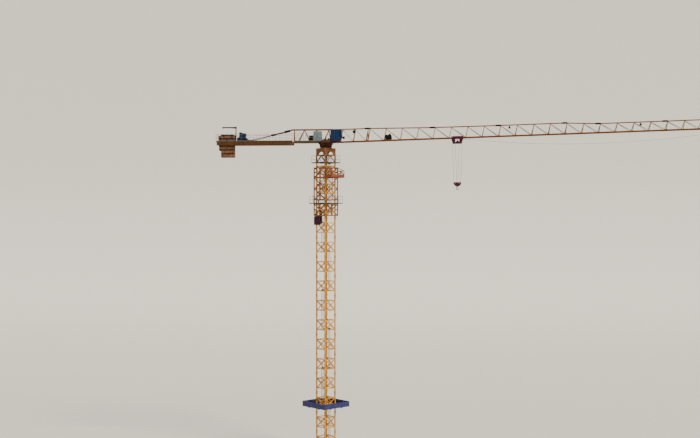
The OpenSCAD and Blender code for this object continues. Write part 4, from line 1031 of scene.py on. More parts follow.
@dataclass
class SlewingGear:
    """The toothed ring that the crane turns on, its bolts and its motors."""

    ring_r: float = 90.0
    ring_h: float = 9.0
    teeth: int = 112
    tooth: float = 1.5
    tooth_root: float = 1.6
    tooth_tip: float = 0.7
    bolt_count: int = 36
    bolt_out: float = 7.0
    motor_y: float = 41.0
    motor_x: float = 44.0
    motor_r: float = 14.6
    fin_count: int = 18

    def build(self) -> None:
        """Builds the teeth, the ring's bolts and the motors' fins."""
        top = top_of("slewing_base")
        teeth = Pieces("slewing_gear_teeth")
        inner, outer = self.ring_r - 0.4, self.ring_r + self.tooth
        root, tip = self.tooth_root, self.tooth_tip
        for i in range(self.teeth):
            teeth.place = turned(360 * i / self.teeth)
            teeth.faces([(x, y, z) for z in (top - self.ring_h + 1, top - 1)
                         for x, y in ((inner, -root), (outer, -tip), (outer, tip), (inner, root))],
                        BOX_FACES)
        teeth.done("roller_iron", Body.TOWER)
        bolts = Pieces("slewing_ring_bolts")
        for i in range(self.bolt_count):
            bolts.place = turned(360 * i / self.bolt_count)
            bolts.hex_head((self.ring_r + self.bolt_out, 0, top - self.ring_h), (0, 0, 1), 2.2, 2.4)
        bolts.done("galvanised_steel", Body.TOWER, BRIGHT_ZINC)
        self.motor_fins()

    def motor_fins(self) -> None:
        """Cooling fins, fan cowls and terminal boxes of the two slewing motors."""
        fins = Pieces("slewing_motor_fins")
        foot, r = foot_of("slewing_motors"), self.motor_r
        for y in (-self.motor_y, self.motor_y):
            place = moved(self.motor_x, y, foot)
            for i in range(self.fin_count):
                fins.place = place @ turned(360 * i / self.fin_count)
                fins.box((11.5, -0.5, 28), (r, 0.5, 60))
            fins.place = place
            fins.turned_shape((0, 0, 61), (0, 0, 1), [(0, r), (6, r), (9, 12.0), (9, 4.0)])
            fins.box((12, -6, 40), (20, 6, 54))
        fins.done("motor_paint", Body.UPPER)


@dataclass
class Cab:
    """The driver's cab: bearers, seals round its panes, a door on the near side, and lamps.

    Its sizes are measured from the corner of its floor at the rear and on the near side.
    """

    width: float = 130.0
    length: float = 182.0
    height: float = 176.0
    seal: float = 2.2
    side_pane: tuple[float, float, float, float] = (62.0, 56.0, 156.0, 162.0)
    door_pane: tuple[float, float, float, float] = (14.0, 84.0, 54.0, 152.0)
    rear_pane: tuple[float, float, float, float] = (30.0, 84.0, 100.0, 144.0)
    door_edge: tuple[float, float, float, float] = (9.0, 10.0, 58.0, 166.0)
    arms: tuple[float, float] = (0.0, 96.0)
    slope: float = 16.0
    lip: float = 2.0
    lamp_y: float = 22.0
    lamp_z: float = 46.0
    lamp_r: float = 22.0
    place: Matrix = field(init=False)

    def __post_init__(self) -> None:
        """Finds the place of the floor's corner."""
        low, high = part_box("cab_shell")
        self.place = moved(*Vector((low[0] / MM, low[1] / MM, high[2] / MM - self.height)))

    def build(self) -> None:
        """Builds everything on the cab, from its seals to its bearers."""
        self.seals()
        self.door()
        self.roof_lip()
        self.wiper_and_mirror()
        self.lamps()
        self.bearers()

    def frame_round(self, parts: Pieces, pane: tuple[float, float, float, float],
                    faces: tuple[float, float], wide: float) -> None:
        """Adds four bars round a pane that lies in the XZ plane.

        Args:
            parts: What they are added to.
            pane: The pane's low x and z, and its high x and z.
            faces: Where along Y the bars begin and end.
            wide: The bars' width.
        """
        (x0, z0, x1, z1), (y0, y1) = pane, faces
        parts.box((x0 - wide, y0, z0 - wide), (x1 + wide, y1, z0))
        parts.box((x0 - wide, y0, z1), (x1 + wide, y1, z1 + wide))
        parts.box((x0 - wide, y0, z0), (x0, y1, z1))
        parts.box((x1, y0, z0), (x1 + wide, y1, z1))

    def seals(self) -> None:
        """Rubber seals round the side panes, the door's pane and the rear pane."""
        parts = Pieces("cab_window_seals", self.place)
        for pane, y in ((self.side_pane, -1.0), (self.door_pane, -1.0),
                        (self.side_pane, self.width)):
            self.frame_round(parts, pane, (y, y + 1.0), self.seal)
        parts.place = self.place @ turned(90)
        self.frame_round(parts, self.rear_pane, (0.0, 1.0), self.seal)
        parts.done("black_enamel", Body.UPPER, RUBBER, bevel=0.3)

    def door(self) -> None:
        """The near side's door: its raised edge, hinges and handle."""
        parts = Pieces("cab_door_trim", self.place)
        self.frame_round(parts, self.door_edge, (-0.8, 0.0), 1.2)
        for z in (24.0, 150.0):
            parts.tube([(8.0, -1.8, z), (8.0, -1.8, z + 10)], 1.4)
        parts.box((48.0, -3.4, 70.0), (54.0, -1.6, 73.0))
        parts.box((49.0, -2.0, 68.0), (51.0, 0.0, 75.0))
        parts.done("cab_paint", Body.UPPER, bevel=0.25)

    def roof_lip(self) -> None:
        """The lip round the roof's edge."""
        roof = Pieces("cab_roof_lip", self.place)
        end, lip, far = self.length - self.slope, self.lip, self.width + self.lip
        foot, top = self.height - 5, self.height + 1.5
        for y in (-lip, self.width):
            roof.box((-1.0, y, foot), (end + 3, y + lip, top))
        roof.box((end, -lip, foot + 1), (end + 12, far, top))
        roof.box((-lip, -lip, foot), (0.0, far, top))
        roof.done("cab_paint", Body.UPPER, bevel=0.4)

    def wiper_and_mirror(self) -> None:
        """The wiper on the front pane, and the mirror on its arm."""
        parts = Pieces("cab_wiper_and_mirror", self.place)
        front = self.length
        parts.tube([(front + 1.2, 65, 66), (front - 5.5, 80, 112)], 0.9, 8)
        parts.tube([(front - 1.4, 68, 96), (front - 9.4, 88, 140)], 1.2, 8)
        parts.tube([(150, -2, 150), (162, -14, 148), (166, -18, 132)], 1.2, 8)
        parts.box((163, -22, 104), (166, -12, 132))
        parts.done("black_enamel", Body.UPPER, RUBBER)

    def lamps(self) -> None:
        """A long lamp at the cab's rear edge and a round floodlight out in front."""
        strip = Pieces("cab_rear_lamp", self.place)
        strip.box((-4.0, 20, 150), (0.0, self.width - 20, 158))
        strip.done("cab_paint", Body.UPPER, WHITE_LENS, bevel=0.8)
        housing = Pieces("cab_front_lamp", self.place)
        lens = Pieces("cab_front_lamp_lens", self.place)
        x, y, z, r = self.length, self.lamp_y, self.lamp_z, self.lamp_r
        housing.tube([(x - 12, y, z - 2), (x + 8, y, z)], 2.4, 10)
        housing.turned_shape((x + 6, y, z), (1, 0, 0),
                             [(0, 9.0), (6, r - 3), (27, r), (30, r - 0.5)], 28)
        lens.turned_shape((x + 36.2, y, z), (1, 0, 0), [(0, r - 1.5), (1.2, r - 4)], 28)
        housing.done("black_enamel", Body.UPPER, smooth=True)
        lens.done("black_enamel", Body.UPPER, SMOKED_LENS, smooth=True)

    def bearers(self) -> None:
        """The frame under the cab: a jacket round each of its two arms, and two edge beams."""
        parts = Pieces("cab_bearers", self.place)
        for x in self.arms:
            parts.box((x - 3, 6.0, -17.0), (x + 13, self.width + 16, -0.3))
        for y0, y1 in ((8.5, 18.0), (self.width - 12, self.width - 4)):
            parts.box((-5.0, y0, -16.0), (self.length - 40, y1, -0.5))
        parts.done("slewing_paint", Body.UPPER, bevel=0.6)


@dataclass
class Cabinets:
    """Doors, louvres and handles of the boxes on the head's walkway."""

    louvres: int = 6
    louvre_gap: float = 5.0
    door: float = 1.2

    def build(self) -> None:
        """Builds the cabinet's doors, louvres and handles, and the small box's lid."""
        low, high = corners_of("electric_cabinet")
        front = low[1] + 2
        parts = Pieces("cabinet_doors")
        middle = (low[0] + high[0]) / 2
        for x0, x1 in ((low[0] + 6, middle - 1), (middle + 1, high[0] - 6)):
            parts.box((x0, front - self.door, low[2] + 6), (x1, front, high[2] - 12))
            for row in range(self.louvres):
                z = low[2] + 16 + row * self.louvre_gap
                parts.box((x0 + 10, front - self.door - 1, z), (x1 - 10, front - self.door, z + 2))
        parts.done("cabinet_paint", Body.UPPER, bevel=0.3)
        fittings = Pieces("cabinet_handles")
        grip = (low[2] + high[2]) / 2
        for x in (middle - 6, middle + 4):
            fittings.box((x, front - 3.2, grip - 8), (x + 2, front - self.door, grip + 8))
        low, high = corners_of("control_box")
        lid = low[1] - 1
        fittings.box((low[0] + 3, lid, low[2] + 4), (high[0] - 3, low[1], high[2] - 4))
        for x in (low[0] + 8, high[0] - 8):
            for z in (low[2] + 9, high[2] - 9):
                fittings.hex_head((x, lid, z), (0, -1, 0), 1.4, 1.2)
        fittings.done("black_enamel", Body.UPPER, bevel=0.2)


@dataclass
class CounterJib:
    """Stiffeners of the counter-jib's beams, and sleeves, pins and upper bars of its ties."""

    beam_gap: float = 150.0
    beam_w: float = 14.0
    beam_h: float = 56.0
    stiffener_gap: float = 90.0
    tie_x: float = 1165.0
    tie_top: tuple[float, float] = (-505.0, 13.0)
    # Of each link: its share of the way up, its pins' distance, and its sleeve's half height.
    links: tuple[tuple[float, float, float], ...] = ((0.52, 16, 11), (0.86, 34, 16))

    def build(self) -> None:
        """Builds the beams' stiffeners and the ties' small parts."""
        low, high = corners_of("counter_jib_beams")
        deck = top_of("counter_jib_deck")
        parts = Pieces("beam_stiffeners")
        x = low[0] + 70
        while x < high[0] - 30:
            for mid in (-self.beam_gap / 2, self.beam_gap / 2):
                for face in (-1, 1):
                    y0, y1 = sorted((mid + face * 1.8, mid + face * (self.beam_w / 2 - 0.6)))
                    parts.box((x, y0, deck - self.beam_h + 5), (x + 2, y1, deck - 5))
            x += self.stiffener_gap
        parts.done("jib_paint", Body.UPPER, FINISHES["beam_paint"])
        self.ties(deck)

    def ties(self, deck: float) -> None:
        """The ties' upper bars, the sleeves over their links, and all their pins.

        Args:
            deck: The height of the counter-jib's deck.
        """
        pins = Pieces("tie_bar_pins")
        sleeves = Pieces("tie_link_sleeves")
        bars = Pieces("tie_upper_bars")
        for side in (-1, 1):
            low = Vector((-self.tie_x, side * self.beam_gap / 2, deck + 16))
            high = Vector((self.tie_top[0], side * self.tie_top[1],
                           top_of("head_top_chord") - 8.0))
            whole = high - low
            bars.place = aimed(low + whole * self.links[0][0], high)
            bars.box((0, -4.2, -7.5), (whole.length * 0.42, 4.2, 7.5))
            for share, reach, half in self.links:
                sleeves.place = aimed(low + whole * share, high)
                sleeves.box((-reach - 9, -4.6, -half), (reach + 9, 4.6, half))
                for shift in (-reach, reach):
                    at = low + whole * share + whole.normalized() * shift
                    pins.tube([at - Vector((0, 5.6, 0)), at + Vector((0, 5.6, 0))], 2.6, 16)
            end = Vector((0, 7, 0))
            pins.tube([low - end, low + end], 3.4, 16)
            for way in (1, -1):
                pins.hex_head(low + end * way, (0, way, 0), 3.6, 2.0)
        pins.done("roller_iron", Body.UPPER, smooth=True)
        sleeves.done("black_enamel", Body.UPPER, bevel=1.5)
        bars.done("tie_paint", Body.UPPER, bevel=0.6)


@dataclass
class HoistWinch:
    """The rope on the hoist drum, its covers and hubs, and the fins of its motor."""

    drum_r: float = 30.0
    drum_l: float = 90.0
    rope_r: float = 1.4
    turn_steps: int = 28
    motor_r: float = 19.0
    motor_x: float = -1233.0
    motor_z: float = 32.0
    fin_count: int = 20
    hub_bolts: int = 8
    hub_bolt_r: float = 16.5

    def build(self) -> None:
        """Builds the wound rope, the fins, the hubs, the covers and the feet's bolts."""
        low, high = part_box("hoist_drum")
        centre = (Vector(low) + Vector(high)) / 2 / MM
        deck = top_of("counter_jib_deck")
        self.rope_layer(centre)
        self.motor_fins(deck)
        self.hubs(centre)
        self.covers(centre, deck)
        bolts = Pieces("hoist_foot_bolts")
        for x in (centre[0] - 50, centre[0] + 50):
            for y in (-64, 64):
                bolts.hex_head((x, y, deck + 12.1), (0, 0, 1), 2.4, 2.2)
        bolts.done("galvanised_steel", Body.UPPER, BRIGHT_ZINC)

    def rope_layer(self, centre: Vector) -> None:
        """The top layer of rope on the drum.

        Args:
            centre: The drum's centre.
        """
        rope = Pieces("drum_rope_layer")
        turns = int((self.drum_l - 14) / (2 * self.rope_r))
        path = []
        for i in range(turns * self.turn_steps + 1):
            turn = math.tau * i / self.turn_steps
            out = Vector((math.cos(turn), 0, math.sin(turn))) * (self.drum_r + self.rope_r * 0.9)
            y = -self.drum_l / 2 + 7 + 2 * self.rope_r * i / self.turn_steps
            path.append(centre + out + Vector((0, y, 0)))
        rope.tube(path, self.rope_r, 6)
        rope.done("wire_rope", Body.UPPER, smooth=True)

    def motor_fins(self, deck: float) -> None:
        """The motor's fins, its fan cowl and its brake.

        Args:
            deck: The height of the counter-jib's deck.
        """
        place = moved(self.motor_x, 0, deck + self.motor_z)
        fins = Pieces("hoist_motor_fins")
        for i in range(self.fin_count):
            fins.place = place @ turned(360 * i / self.fin_count, "Y")
            fins.box((self.motor_r - 0.5, -38, -0.6), (self.motor_r + 3.0, 20, 0.6))
        fins.place = place
        fins.turned_shape((0, 40, 0), (0, 1, 0), [(0, 21.5), (8, 21.5), (13, 17.0), (13, 6.0)], 28)
        fins.turned_shape((0, -48, 0), (0, 1, 0), [(-10, 16.0), (-8, 22.0), (0, 22.0)], 28)
        fins.done("motor_paint", Body.UPPER)

    def hubs(self, centre: Vector) -> None:
        """The drum's bearing housings on the outer faces of the side plates.

        Args:
            centre: The drum's centre.
        """
        hubs = Pieces("hoist_drum_hubs")
        out = self.drum_l / 2 + 12
        for side in (-1, 1):
            hubs.turned_shape((centre[0], side * out, centre[2]), (0, side, 0),
                              [(0, 19), (3, 19), (4, 15), (9, 14), (10, 11)], 32)
            for i in range(self.hub_bolts):
                turn = math.tau * i / self.hub_bolts
                at = (centre[0] + self.hub_bolt_r * math.cos(turn), side * (out + 3),
                      centre[2] + self.hub_bolt_r * math.sin(turn))
                hubs.hex_head(at, (0, side, 0), 1.5, 1.4)
        hubs.done("motor_paint", Body.UPPER, smooth=True)

    def covers(self, centre: Vector, deck: float) -> None:
        """The two housings over the drum, with a gap between them for the rope.

        Args:
            centre: The drum's centre.
            deck: The height of the counter-jib's deck.
        """
        covers = Pieces("hoist_drum_covers", moved(centre[0], 0, deck))
        half = self.drum_l / 2 + 3.9
        for x0, x1, top in ((-45, -8, 146), (8, 54, 132)):
            covers.box((x0, -half, 94), (x1, half, top))
            covers.box((x0 + 8, -half - 1.5, top - 12), (x1 - 8, half + 1.5, top - 5))
        covers.done("motor_paint", Body.UPPER, bevel=2.0)


@dataclass
class Davit:
    """The jacket and drum of the small davit's arm, and the sleeve round its post."""

    hub_r: float = 9.0
    hub_h: float = 22.0
    jacket: float = 6.0
    flange_r: float = 14.0

    def build(self) -> None:
        """Builds the jacket with the drum, and the sleeve."""
        low, high = corners_of("davit_arm")
        post_x, foot = high[0] - self.hub_r, high[2] - self.hub_h
        parts = Pieces("davit_arm_jacket", moved(post_x, 0, foot))
        parts.box((low[0] - post_x - 1, -self.jacket, 9.0), (-self.hub_r + 1, self.jacket, 27.0))
        r = self.flange_r
        parts.turned_shape((0, 0, 1), (0, 0, 1),
                           [(0, r), (3, r), (4, r - 2), (24, r - 2), (25, r), (29, r)], 28)
        parts.done("black_enamel", Body.DAVIT, bevel=0.6)
        sleeve = Pieces("davit_post_sleeve", moved(post_x))
        deck = top_of("counter_jib_deck")
        sleeve.turned_shape((0, 0, deck + 4), (0, 0, 1),
                            [(0, 12), (6, 12), (8, 8), (foot - deck - 16, 8)])
        sleeve.done("black_enamel", Body.UPPER, smooth=True)


@dataclass
class Counterweights:
    """Lifting eyes cast into the slabs, and the rods that clamp them together."""

    first_x: float = -1425.0
    pitch: float = 68.0
    slab: float = 66.0
    count: int = 3
    eye_y: float = 60.0
    rod_y: float = 84.0
    rod_drop: float = 24.0

    def build(self) -> None:
        """Builds two lifting eyes on each slab and two clamping rods."""
        top = top_of("counterweights")
        eyes = Pieces("slab_lifting_eyes")
        bends = [math.pi * k / 10 for k in range(11)]
        for i in range(self.count):
            x = self.first_x - i * self.pitch - self.slab / 2
            for y in (-self.eye_y, self.eye_y):
                eyes.tube([(x - 9 * math.cos(bend), y, top - 1 + 11 * math.sin(bend))
                           for bend in bends], 1.6, 10)
        eyes.done("roller_iron", Body.UPPER, smooth=True)
        rods = Pieces("slab_clamp_rods")
        end, z = self.first_x - self.count * self.pitch, top - self.rod_drop
        for y in (-self.rod_y, self.rod_y):
            rods.tube([(end - 4, y, z), (self.first_x + 5, y, z)], 2.0)
            rods.hex_head((self.first_x + 1, y, z), (1, 0, 0), 3.4, 3.4)
        rods.done("galvanised_steel", Body.UPPER, BRIGHT_ZINC)


@dataclass
class Jib:
    """The jib's section joints and stout posts, and what hangs under or on its chords."""

    foot_x: float = 118.0
    rise: float = 1.77
    width: float = 130.0
    chord: float = 16.0
    sections: tuple[float, ...] = (532.0, 1000.0, 1000.0, 1000.0, 500.0, 1000.0, 1000.0)
    root_depth: float = 196.0
    depths: tuple[float, ...] = (195.0, 172.0, 166.0, 166.0, 138.0, 138.0, 138.0)
    bay: float = 250.0
    root_bay: float = 197.0
    lean: float = 40.0
    post_r: float = 4.9
    lug_half: float = 16.0
    sleeve_half: float = 38.0
    lamps: tuple[float, ...] = (2702.0, 4670.0)
    pulley: float = 327.0
    pulley_drop: float = 44.0

    def frame(self) -> Matrix:
        """The jib's own frame: along its bottom chords, from the foot pins."""
        level = foot_of("head_frame") + self.chord / 2
        return moved(self.foot_x, 0, level) @ turned(-self.rise, "Y")

    def joints(self) -> list[float]:
        """Distances of the section joints from the foot pins."""
        return [sum(self.sections[:i + 1]) for i in range(len(self.sections))]

    def depth_at(self, along: float) -> float:
        """The truss height at a place on the jib.

        Args:
            along: The distance from the foot pins.

        Returns:
            The height between the middles of its chords.
        """
        stops, heights = [0.0] + self.joints(), (self.root_depth,) + self.depths
        for i in range(len(stops) - 1):
            if along <= stops[i + 1]:
                share = (along - stops[i]) / (stops[i + 1] - stops[i])
                return heights[i] + (heights[i + 1] - heights[i]) * share
        return heights[-1]

    def build(self) -> None:
        """Builds everything on the jib, from its joints to the pulley's cheeks."""
        self.section_joints()
        self.post_sleeves()
        self.head_chord_case()
        self.floodlights()
        self.trolley_winch_hood()
        self.pulley_cheeks()

    def section_joints(self) -> None:
        """Lugs, sleeves and pins of every section joint, and the pins at the foot."""
        pins, lugs, sleeves = (Pieces(name, self.frame()) for name in (
            "jib_section_pins", "jib_section_lugs", "jib_joint_sleeves"))
        c, half = self.chord / 2, self.width / 2
        for along, depth in zip(self.joints(), self.depths):
            for y in (-half, half):
                for low, high in ((-c - 1.0, -c - 0.05), (c + 0.05, c + 2.5)):
                    lugs.box((along - self.lug_half, y - c - 0.2, low),
                             (along + self.lug_half, y + c + 0.2, high))
                for x in (along - 8, along + 8):
                    pins.tube([(x, y, c + 1), (x, y, c + 6)], 2.8, 14)
            sleeves.box((along - self.sleeve_half, -c - 3.5, depth - c - 4),
                        (along + self.sleeve_half, c + 3.5, depth + c + 6))
            pins.tube([(along, -c - 7, depth), (along, c + 7, depth)], 3.4, 16)
            for way in (1, -1):
                pins.hex_head((along, way * (c + 5), depth), (0, way, 0), 4.2, 2.5)
        for y in (-half, half):
            for side in (-1, 1):
                pins.hex_head((0, y + side * 14, 0), (0, side, 0), 5.0, 2.5)
        pins.done("roller_iron", Body.UPPER, smooth=True)
        lugs.done("jib_paint", Body.UPPER)
        sleeves.done("jib_paint", Body.UPPER, FINISHES["black_enamel"], bevel=1.0)

    def post_sleeves(self) -> None:
        """Stouter tubes over the posts of the two side walls."""
        posts = Pieces("jib_post_sleeves", self.frame())
        root, tip = self.sections[0], self.joints()[-1]
        feet = [root - 27 - k * self.root_bay for k in (2, 1, 0)]
        feet += [root + self.bay * k for k in range(int((tip - root) / self.bay))]
        for x in feet:
            top = self.depth_at(x + self.lean + 6) - self.chord / 2
            for side in (-1, 1):
                low = Vector((x, side * self.width / 2, 0))
                high = Vector((x + self.lean, side * 4.5, top))
                posts.tube([low.lerp(high, 0.07), low.lerp(high, 0.95)], self.post_r)
        posts.done("jib_paint", Body.UPPER, smooth=True)

    def head_chord_case(self) -> None:
        """The case over the head's top chord."""
        low, high = corners_of("head_top_chord")
        case = Pieces("head_chord_case")
        case.box((low[0] + 12, low[1] - 3, low[2] - 2), (high[0] - 4, high[1] + 3, high[2] + 4))
        case.done("jib_paint", Body.UPPER, bevel=1.0)

    def floodlights(self) -> None:
        """The small dark lights that hang under the top chord."""
        bodies, lenses = Pieces("jib_floodlights"), Pieces("jib_floodlight_lenses")
        for along in self.lamps:
            top = self.depth_at(along) - self.chord / 2
            bodies.place = lenses.place = self.frame() @ moved(along, 0, top)
            bodies.tube([(0, 0, 1), (0, 0, -8)], 3.0)
            bodies.box((-3, -19, -10), (3, 19, -7))
            for y in (-19.0, 17.5):
                bodies.box((-3, y, -30), (3, y + 1.5, -8))
            bodies.box((-13, -17, -46), (13, 17, -14))
            for row in range(6):
                bodies.box((-13, -15, -44 + 5 * row), (-16, 15, -42.5 + 5 * row))
            lenses.box((-11, -15, -47), (11, 15, -45.9))
        bodies.done("black_enamel", Body.UPPER, bevel=0.3)
        lenses.done("black_enamel", Body.UPPER, WHITE_LENS)

    def trolley_winch_hood(self) -> None:
        """The tall hood over the trolley winch's motor and brake."""
        low = corners_of("trolley_winch")[0]
        hood = Pieces("trolley_winch_hood", moved(low[0], 20, low[2]) @ turned(90, "X"))
        hood.plate([(52, 12), (74, 12), (118, 12), (118, 44), (106, 80), (96, 94), (76, 94),
                    (58, 80), (52, 66)], 40)
        hood.done("black_enamel", Body.UPPER, bevel=1.5)

    def pulley_cheeks(self) -> None:
        """The dark cheek plates of the pulley that hangs under the head end of the top chord."""
        z = self.depth_at(self.pulley) - self.pulley_drop
        cheeks = Pieces("upper_pulley_cheeks", self.frame() @ moved(self.pulley, 0, z))
        for side in (-1, 1):
            for y, outline, sides in ((9.2, [(0, 26), (2, 26), (3, 24)], 36),
                                      (12.2, [(0, 9), (3, 9), (4, 7)], 24)):
                cheeks.turned_shape((0, side * y, 0), (0, side, 0), outline, sides)
        cheeks.done("black_enamel", Body.UPPER, smooth=True)


@dataclass
class Trolley:
    """Gussets and axle nuts of the trolley, and the rims of its sheaves."""

    jib: Jib
    length: float = 173.0
    gauge: float = 82.0
    sheave_r: float = 21.5
    sheave_x: float = 54.5
    sheave_w: float = 8.0
    sheave_z: float = -35.2
    along: float = 1904.0
    window: float = 3.6
    axle_in: float = 16.0
    axle_z: float = 3.3
    bolt_x: tuple[float, ...] = (-40.0, 0.0, 40.0)
    bolt_z: float = -78.0

    def build(self) -> None:
        """Builds the trolley's small parts in the jib's frame."""
        place = self.jib.frame() @ moved(self.along)
        rims = Pieces("trolley_sheave_rims", place)
        for x in (-self.sheave_x, self.sheave_x):
            for y in (-self.sheave_w / 2 + 0.6, self.sheave_w / 2 - 0.6):
                rims.ring((x, y, self.sheave_z), self.sheave_r - 0.2, 0.9)
        rims.done("roller_iron", Body.TROLLEY, smooth=True)
        nuts = Pieces("trolley_axle_nuts", place)
        out = self.gauge + 9
        for side in (-1, 1):
            for x in (-self.length / 2 + self.axle_in, self.length / 2 - self.axle_in):
                nuts.hex_head((x, side * out, self.axle_z), (0, side, 0), 3.6, 3.0)
            for x in self.bolt_x:
                nuts.hex_head((x, side * out, self.bolt_z), (0, side, 0), 2.2, 2.0)
        nuts.done("galvanised_steel", Body.TROLLEY, BRIGHT_ZINC)
        gussets = Pieces("trolley_window_gussets")
        for side in (-1, 1):
            y = side * (out - 2) + self.window / 2
            gussets.place = place @ moved(0, y, 0) @ turned(90, "X")
            gussets.plate([(-31, -72.5), (31, -72.5), (5, -42), (-5, -42)], self.window)
        gussets.done("maroon_paint", Body.TROLLEY)


@dataclass
class HookBlock:
    """Sheave rims and axle nuts of the hook block."""

    gap: float = 58.0
    sheave_r: float = 20.0
    rim_y: float = 2.4
    cheek: float = 9.0
    bolt_x: float = 14.0
    bolt_drop: float = 34.0

    def middle(self) -> Vector:
        """The point half way between the axles of its two sheaves."""
        low, high = corners_of("hook_block")
        return Vector(((low[0] + high[0]) / 2, 0, high[2] - self.sheave_r))

    def build(self) -> None:
        """Builds the block's small parts around its sheaves' axles."""
        rims, nuts = Pieces("block_sheave_rims"), Pieces("block_axle_nuts")
        low, high = corners_of("hook_block")
        x0, z0 = (low[0] + high[0]) / 2, high[2] - self.sheave_r
        for x in (-self.gap / 2, self.gap / 2):
            for y in (-self.rim_y, self.rim_y):
                rims.ring((x0 + x, y, z0), self.sheave_r - 0.2, 0.8)
            for side in (-1, 1):
                nuts.hex_head((x0 + x, side * self.cheek, z0), (0, side, 0), 5.0, 3.6)
        for x in (-self.bolt_x, self.bolt_x):
            for side in (-1, 1):
                at = (x0 + x, side * self.cheek, z0 - self.bolt_drop)
                nuts.hex_head(at, (0, side, 0), 2.4, 2.0)
        rims.done("roller_iron", Body.BLOCK, smooth=True)
        nuts.done("galvanised_steel", Body.BLOCK, BRIGHT_ZINC)


@dataclass
class Ropes:
    """The hoist's ropes: the falls, the run to the head and the hanging run to the tip."""

    jib: Jib
    trolley: Trolley
    block: HookBlock
    radius: float = 1.4
    foot: float = 60.0
    drop: float = 4.0
    sag: float = 150.0
    tip_pieces: int = 14
    sides: int = 8

    def build(self) -> None:
        """Builds the four falls, the run to the head and the hanging run to the tip."""
        self.falls()
        trolley, place = self.trolley, self.jib.frame()
        z = -self.jib.chord / 2 - self.drop
        ends = [Vector((x, 0, z)) for x in (self.foot, trolley.along - trolley.sheave_x)]
        run = Pieces("rope_to_head", place)
        run.tube(ends, self.radius, self.sides)
        start, end = ((place @ spot) * MM for spot in ends)
        self.stretch(run, (Body.UPPER, Body.TROLLEY), (start, end), "hoist_rope_head")
        self.tip_run(place, z)

    def stretch(self, rope: Pieces, bodies: tuple[Body, Body], ends: tuple[Point, Point],
                *replaced: str) -> None:
        """Dresses a rope and bakes its place into its mesh.

        Args:
            rope: The rope's mesh.
            bodies: The bodies at its start and its end. Not used.
            ends: Where a blend would start and end, in metres. Not used.
            replaced: Nodes of the frame that it stands for.
        """
        obj = rope.done("wire_rope", None, replaced=replaced, smooth=True)
        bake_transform(obj)

    def falls(self) -> None:
        """The four falls between the trolley's sheaves and the hook block's."""
        trolley, block = self.trolley, self.block.middle()
        top = self.jib.frame() @ Vector((trolley.along, 0, trolley.sheave_z))
        grip = self.radius + 0.3
        ropes = Pieces("hoist_fall_ropes")
        for side in (-1, 1):
            for way in (-1, 1):
                high_x = top[0] + side * trolley.sheave_x + way * (trolley.sheave_r + grip)
                low_x = block[0] + side * self.block.gap / 2 + way * (self.block.sheave_r + grip)
                ropes.tube([(high_x, 0, top[2]), (low_x, 0, block[2])], self.radius, self.sides)
        self.stretch(ropes, (Body.TROLLEY, Body.BLOCK),
                     ((block[0] * MM, 0, top[2] * MM), (block[0] * MM, 0, block[2] * MM)),
                     "hoist_falls")

    def tip_run(self, place: Matrix, rope_z: float) -> None:
        """The hanging run from the trolley to the tip, in short straight pieces.

        For each piece the ends of a blend are worked out, in which its two ends would move by their
        own share of the trolley's travel; nothing blends it.

        Args:
            place: The jib's frame.
            rope_z: Height of the run's ends over the bottom chords.
        """
        near = self.trolley.along + self.trolley.sheave_x
        tip_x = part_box("hoist_rope_tip")[1][0] / MM
        far = (tip_x - place.translation[0]) / math.cos(math.radians(self.jib.rise))
        shares = [i / self.tip_pieces for i in range(self.tip_pieces + 1)]
        spots = [place @ Vector((near + (far - near) * share, 0,
                                 rope_z - 4 * self.sag * share * (1 - share)))
                 for share in shares]
        for i in range(self.tip_pieces):
            rope = Pieces(f"rope_to_tip_{i + 1}")
            rope.tube(spots[i:i + 2], self.radius, self.sides)
            p0, p1 = ease_inverse(shares[i]), ease_inverse(shares[i + 1])
            a, b = spots[i] * MM, spots[i + 1] * MM
            step = (b - a) / (p1 - p0)
            self.stretch(rope, (Body.TROLLEY, Body.UPPER), (a - step * p0, b + step * (1 - p1)),
                         *(["hoist_rope_tip"] if i == 0 else []))


def ease_inverse(share: float, halvings: int = 40) -> float:
    """The point of an eased blend at which its weight is the given share.

    Args:
        share: The weight, from 0 to 1.
        halvings: How often the range that the point lies in is halved.

    Returns:
        The point, from 0 to 1.
    """
    low, high = 0.0, 1.0
    for _ in range(halvings):
        mid = (low + high) / 2
        if mid * mid * (3 - 2 * mid) < share:
            low = mid
        else:
            high = mid
    return (low + high) / 2


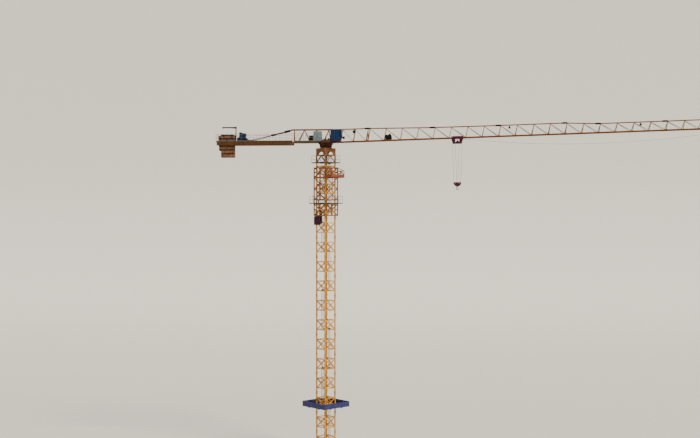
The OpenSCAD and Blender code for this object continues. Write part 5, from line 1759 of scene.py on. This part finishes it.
@dataclass
class Studio:
    """A plain pale floor that curves up behind, soft lights and the camera, in metres."""

    distance: float = 16.35
    azimuth: float = 4.2
    right: float = 0.373
    eye: float = 3.52
    lens: float = 54.4
    shift_up: float = 0.0086
    floor_colour: str = "#e9e7e2"
    floor_depth: float = 26.0
    floor_half: float = 150.0
    bend: float = 6.0
    bend_steps: int = 16
    wall: float = 30.0
    air_colour: str = "#dbe6f2"
    air: float = 0.4
    softness: float = 22.0

    def build(self) -> None:
        """Builds the floor, the lights and the camera."""
        self.backdrop()
        self.lights()
        self.camera()

    def backdrop(self) -> None:
        """A floor and a wall joined by a wide curve."""
        half, start, bend = self.floor_half, self.floor_depth - self.bend, self.bend
        turns = [math.pi / 2 * k / self.bend_steps for k in range(1, self.bend_steps + 1)]
        profile = [(-half, 0.0), (start, 0.0)]
        profile += [(start + bend * math.sin(t), bend * (1 - math.cos(t))) for t in turns]
        profile.append((self.floor_depth, self.wall))
        data = bpy.data.meshes.new("studio_floor")
        points = [(x, y, z) for y, z in profile for x in (-half, half)]
        rows = [(2 * i, 2 * i + 1, 2 * i + 3, 2 * i + 2) for i in range(len(profile) - 1)]
        data.from_pydata(points, [], rows)
        data.polygons.foreach_set("use_smooth", [True] * len(rows))
        floor = bpy.data.objects.new("studio_floor", data)
        bpy.context.scene.collection.objects.link(floor)
        material = bpy.data.materials.new("studio_paper")
        material.use_nodes = True
        shader = material.node_tree.nodes["Principled BSDF"]
        shader.inputs["Base Color"].default_value = linear(self.floor_colour)
        shader.inputs["Roughness"].default_value = 0.95
        data.materials.append(material)

    def lights(self) -> None:
        """A warm key, high on the right and in front, a weak fill, and pale light all round."""
        world = bpy.data.worlds.new("studio_air")
        world.use_nodes = True
        sky = world.node_tree.nodes["Background"]
        sky.inputs[0].default_value = linear(self.air_colour)
        sky.inputs[1].default_value = self.air
        bpy.context.scene.world = world
        for name, energy, colour, tilt, turn in (("key", 4.2, "#fff0d8", 48, 52),
                                                 ("fill", 0.35, "#e4ecff", 62, -40)):
            lamp = bpy.data.lights.new(name, "SUN")
            lamp.energy = energy
            lamp.angle = math.radians(self.softness)
            lamp.color = linear(colour)[:3]
            obj = bpy.data.objects.new(name, lamp)
            obj.rotation_euler = (math.radians(tilt), 0, math.radians(turn))
            bpy.context.scene.collection.objects.link(obj)

    def camera(self) -> None:
        """The camera, level and far off, as in the photograph."""
        turn = math.radians(self.azimuth)
        ahead = Vector((-math.sin(turn), math.cos(turn), 0))
        right = Vector((math.cos(turn), math.sin(turn), 0))
        data = bpy.data.cameras.new("camera")
        data.lens = self.lens
        data.sensor_width = 36.0
        data.shift_y = self.shift_up
        data.clip_end = 200.0
        camera = bpy.data.objects.new("camera", data)
        camera.location = right * self.right - ahead * self.distance + Vector((0, 0, self.eye))
        camera.rotation_euler = (math.pi / 2, 0, turn)
        bpy.context.scene.collection.objects.link(camera)
        bpy.context.scene.camera = camera


def dress_nodes() -> None:
    """Gives every node of the frame its coat, or the finish of its material slot."""
    slots = {part["node"]: part["material_slot"] for part in frame["record"]["subparts"]}
    slots.update(COATS)
    for node, obj in frame["nodes"].items():
        obj.data.materials.clear()
        obj.data.materials.append(FINISHES[slots[node]].build())
    log.info("dressed %d nodes", len(frame["nodes"]))


def main() -> None:
    """Builds the crane's looks, one sub-assembly after another."""
    logging.basicConfig(level=logging.INFO, format="%(message)s")
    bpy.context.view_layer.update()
    Studio().build()
    dress_nodes()
    jib, block = Jib(), HookBlock()
    trolley = Trolley(jib)
    for part in (Mast(), GuardPlatform(), ClimbingFrame(), SlewingGear(), Cab(), Cabinets(),
                 CounterJib(), HoistWinch(), Davit(), Counterweights(), jib, block, trolley,
                 Ropes(jib, trolley, block)):
        part.build()
        log.info("built %s", type(part).__name__)


if __name__ == "__main__":
    main()
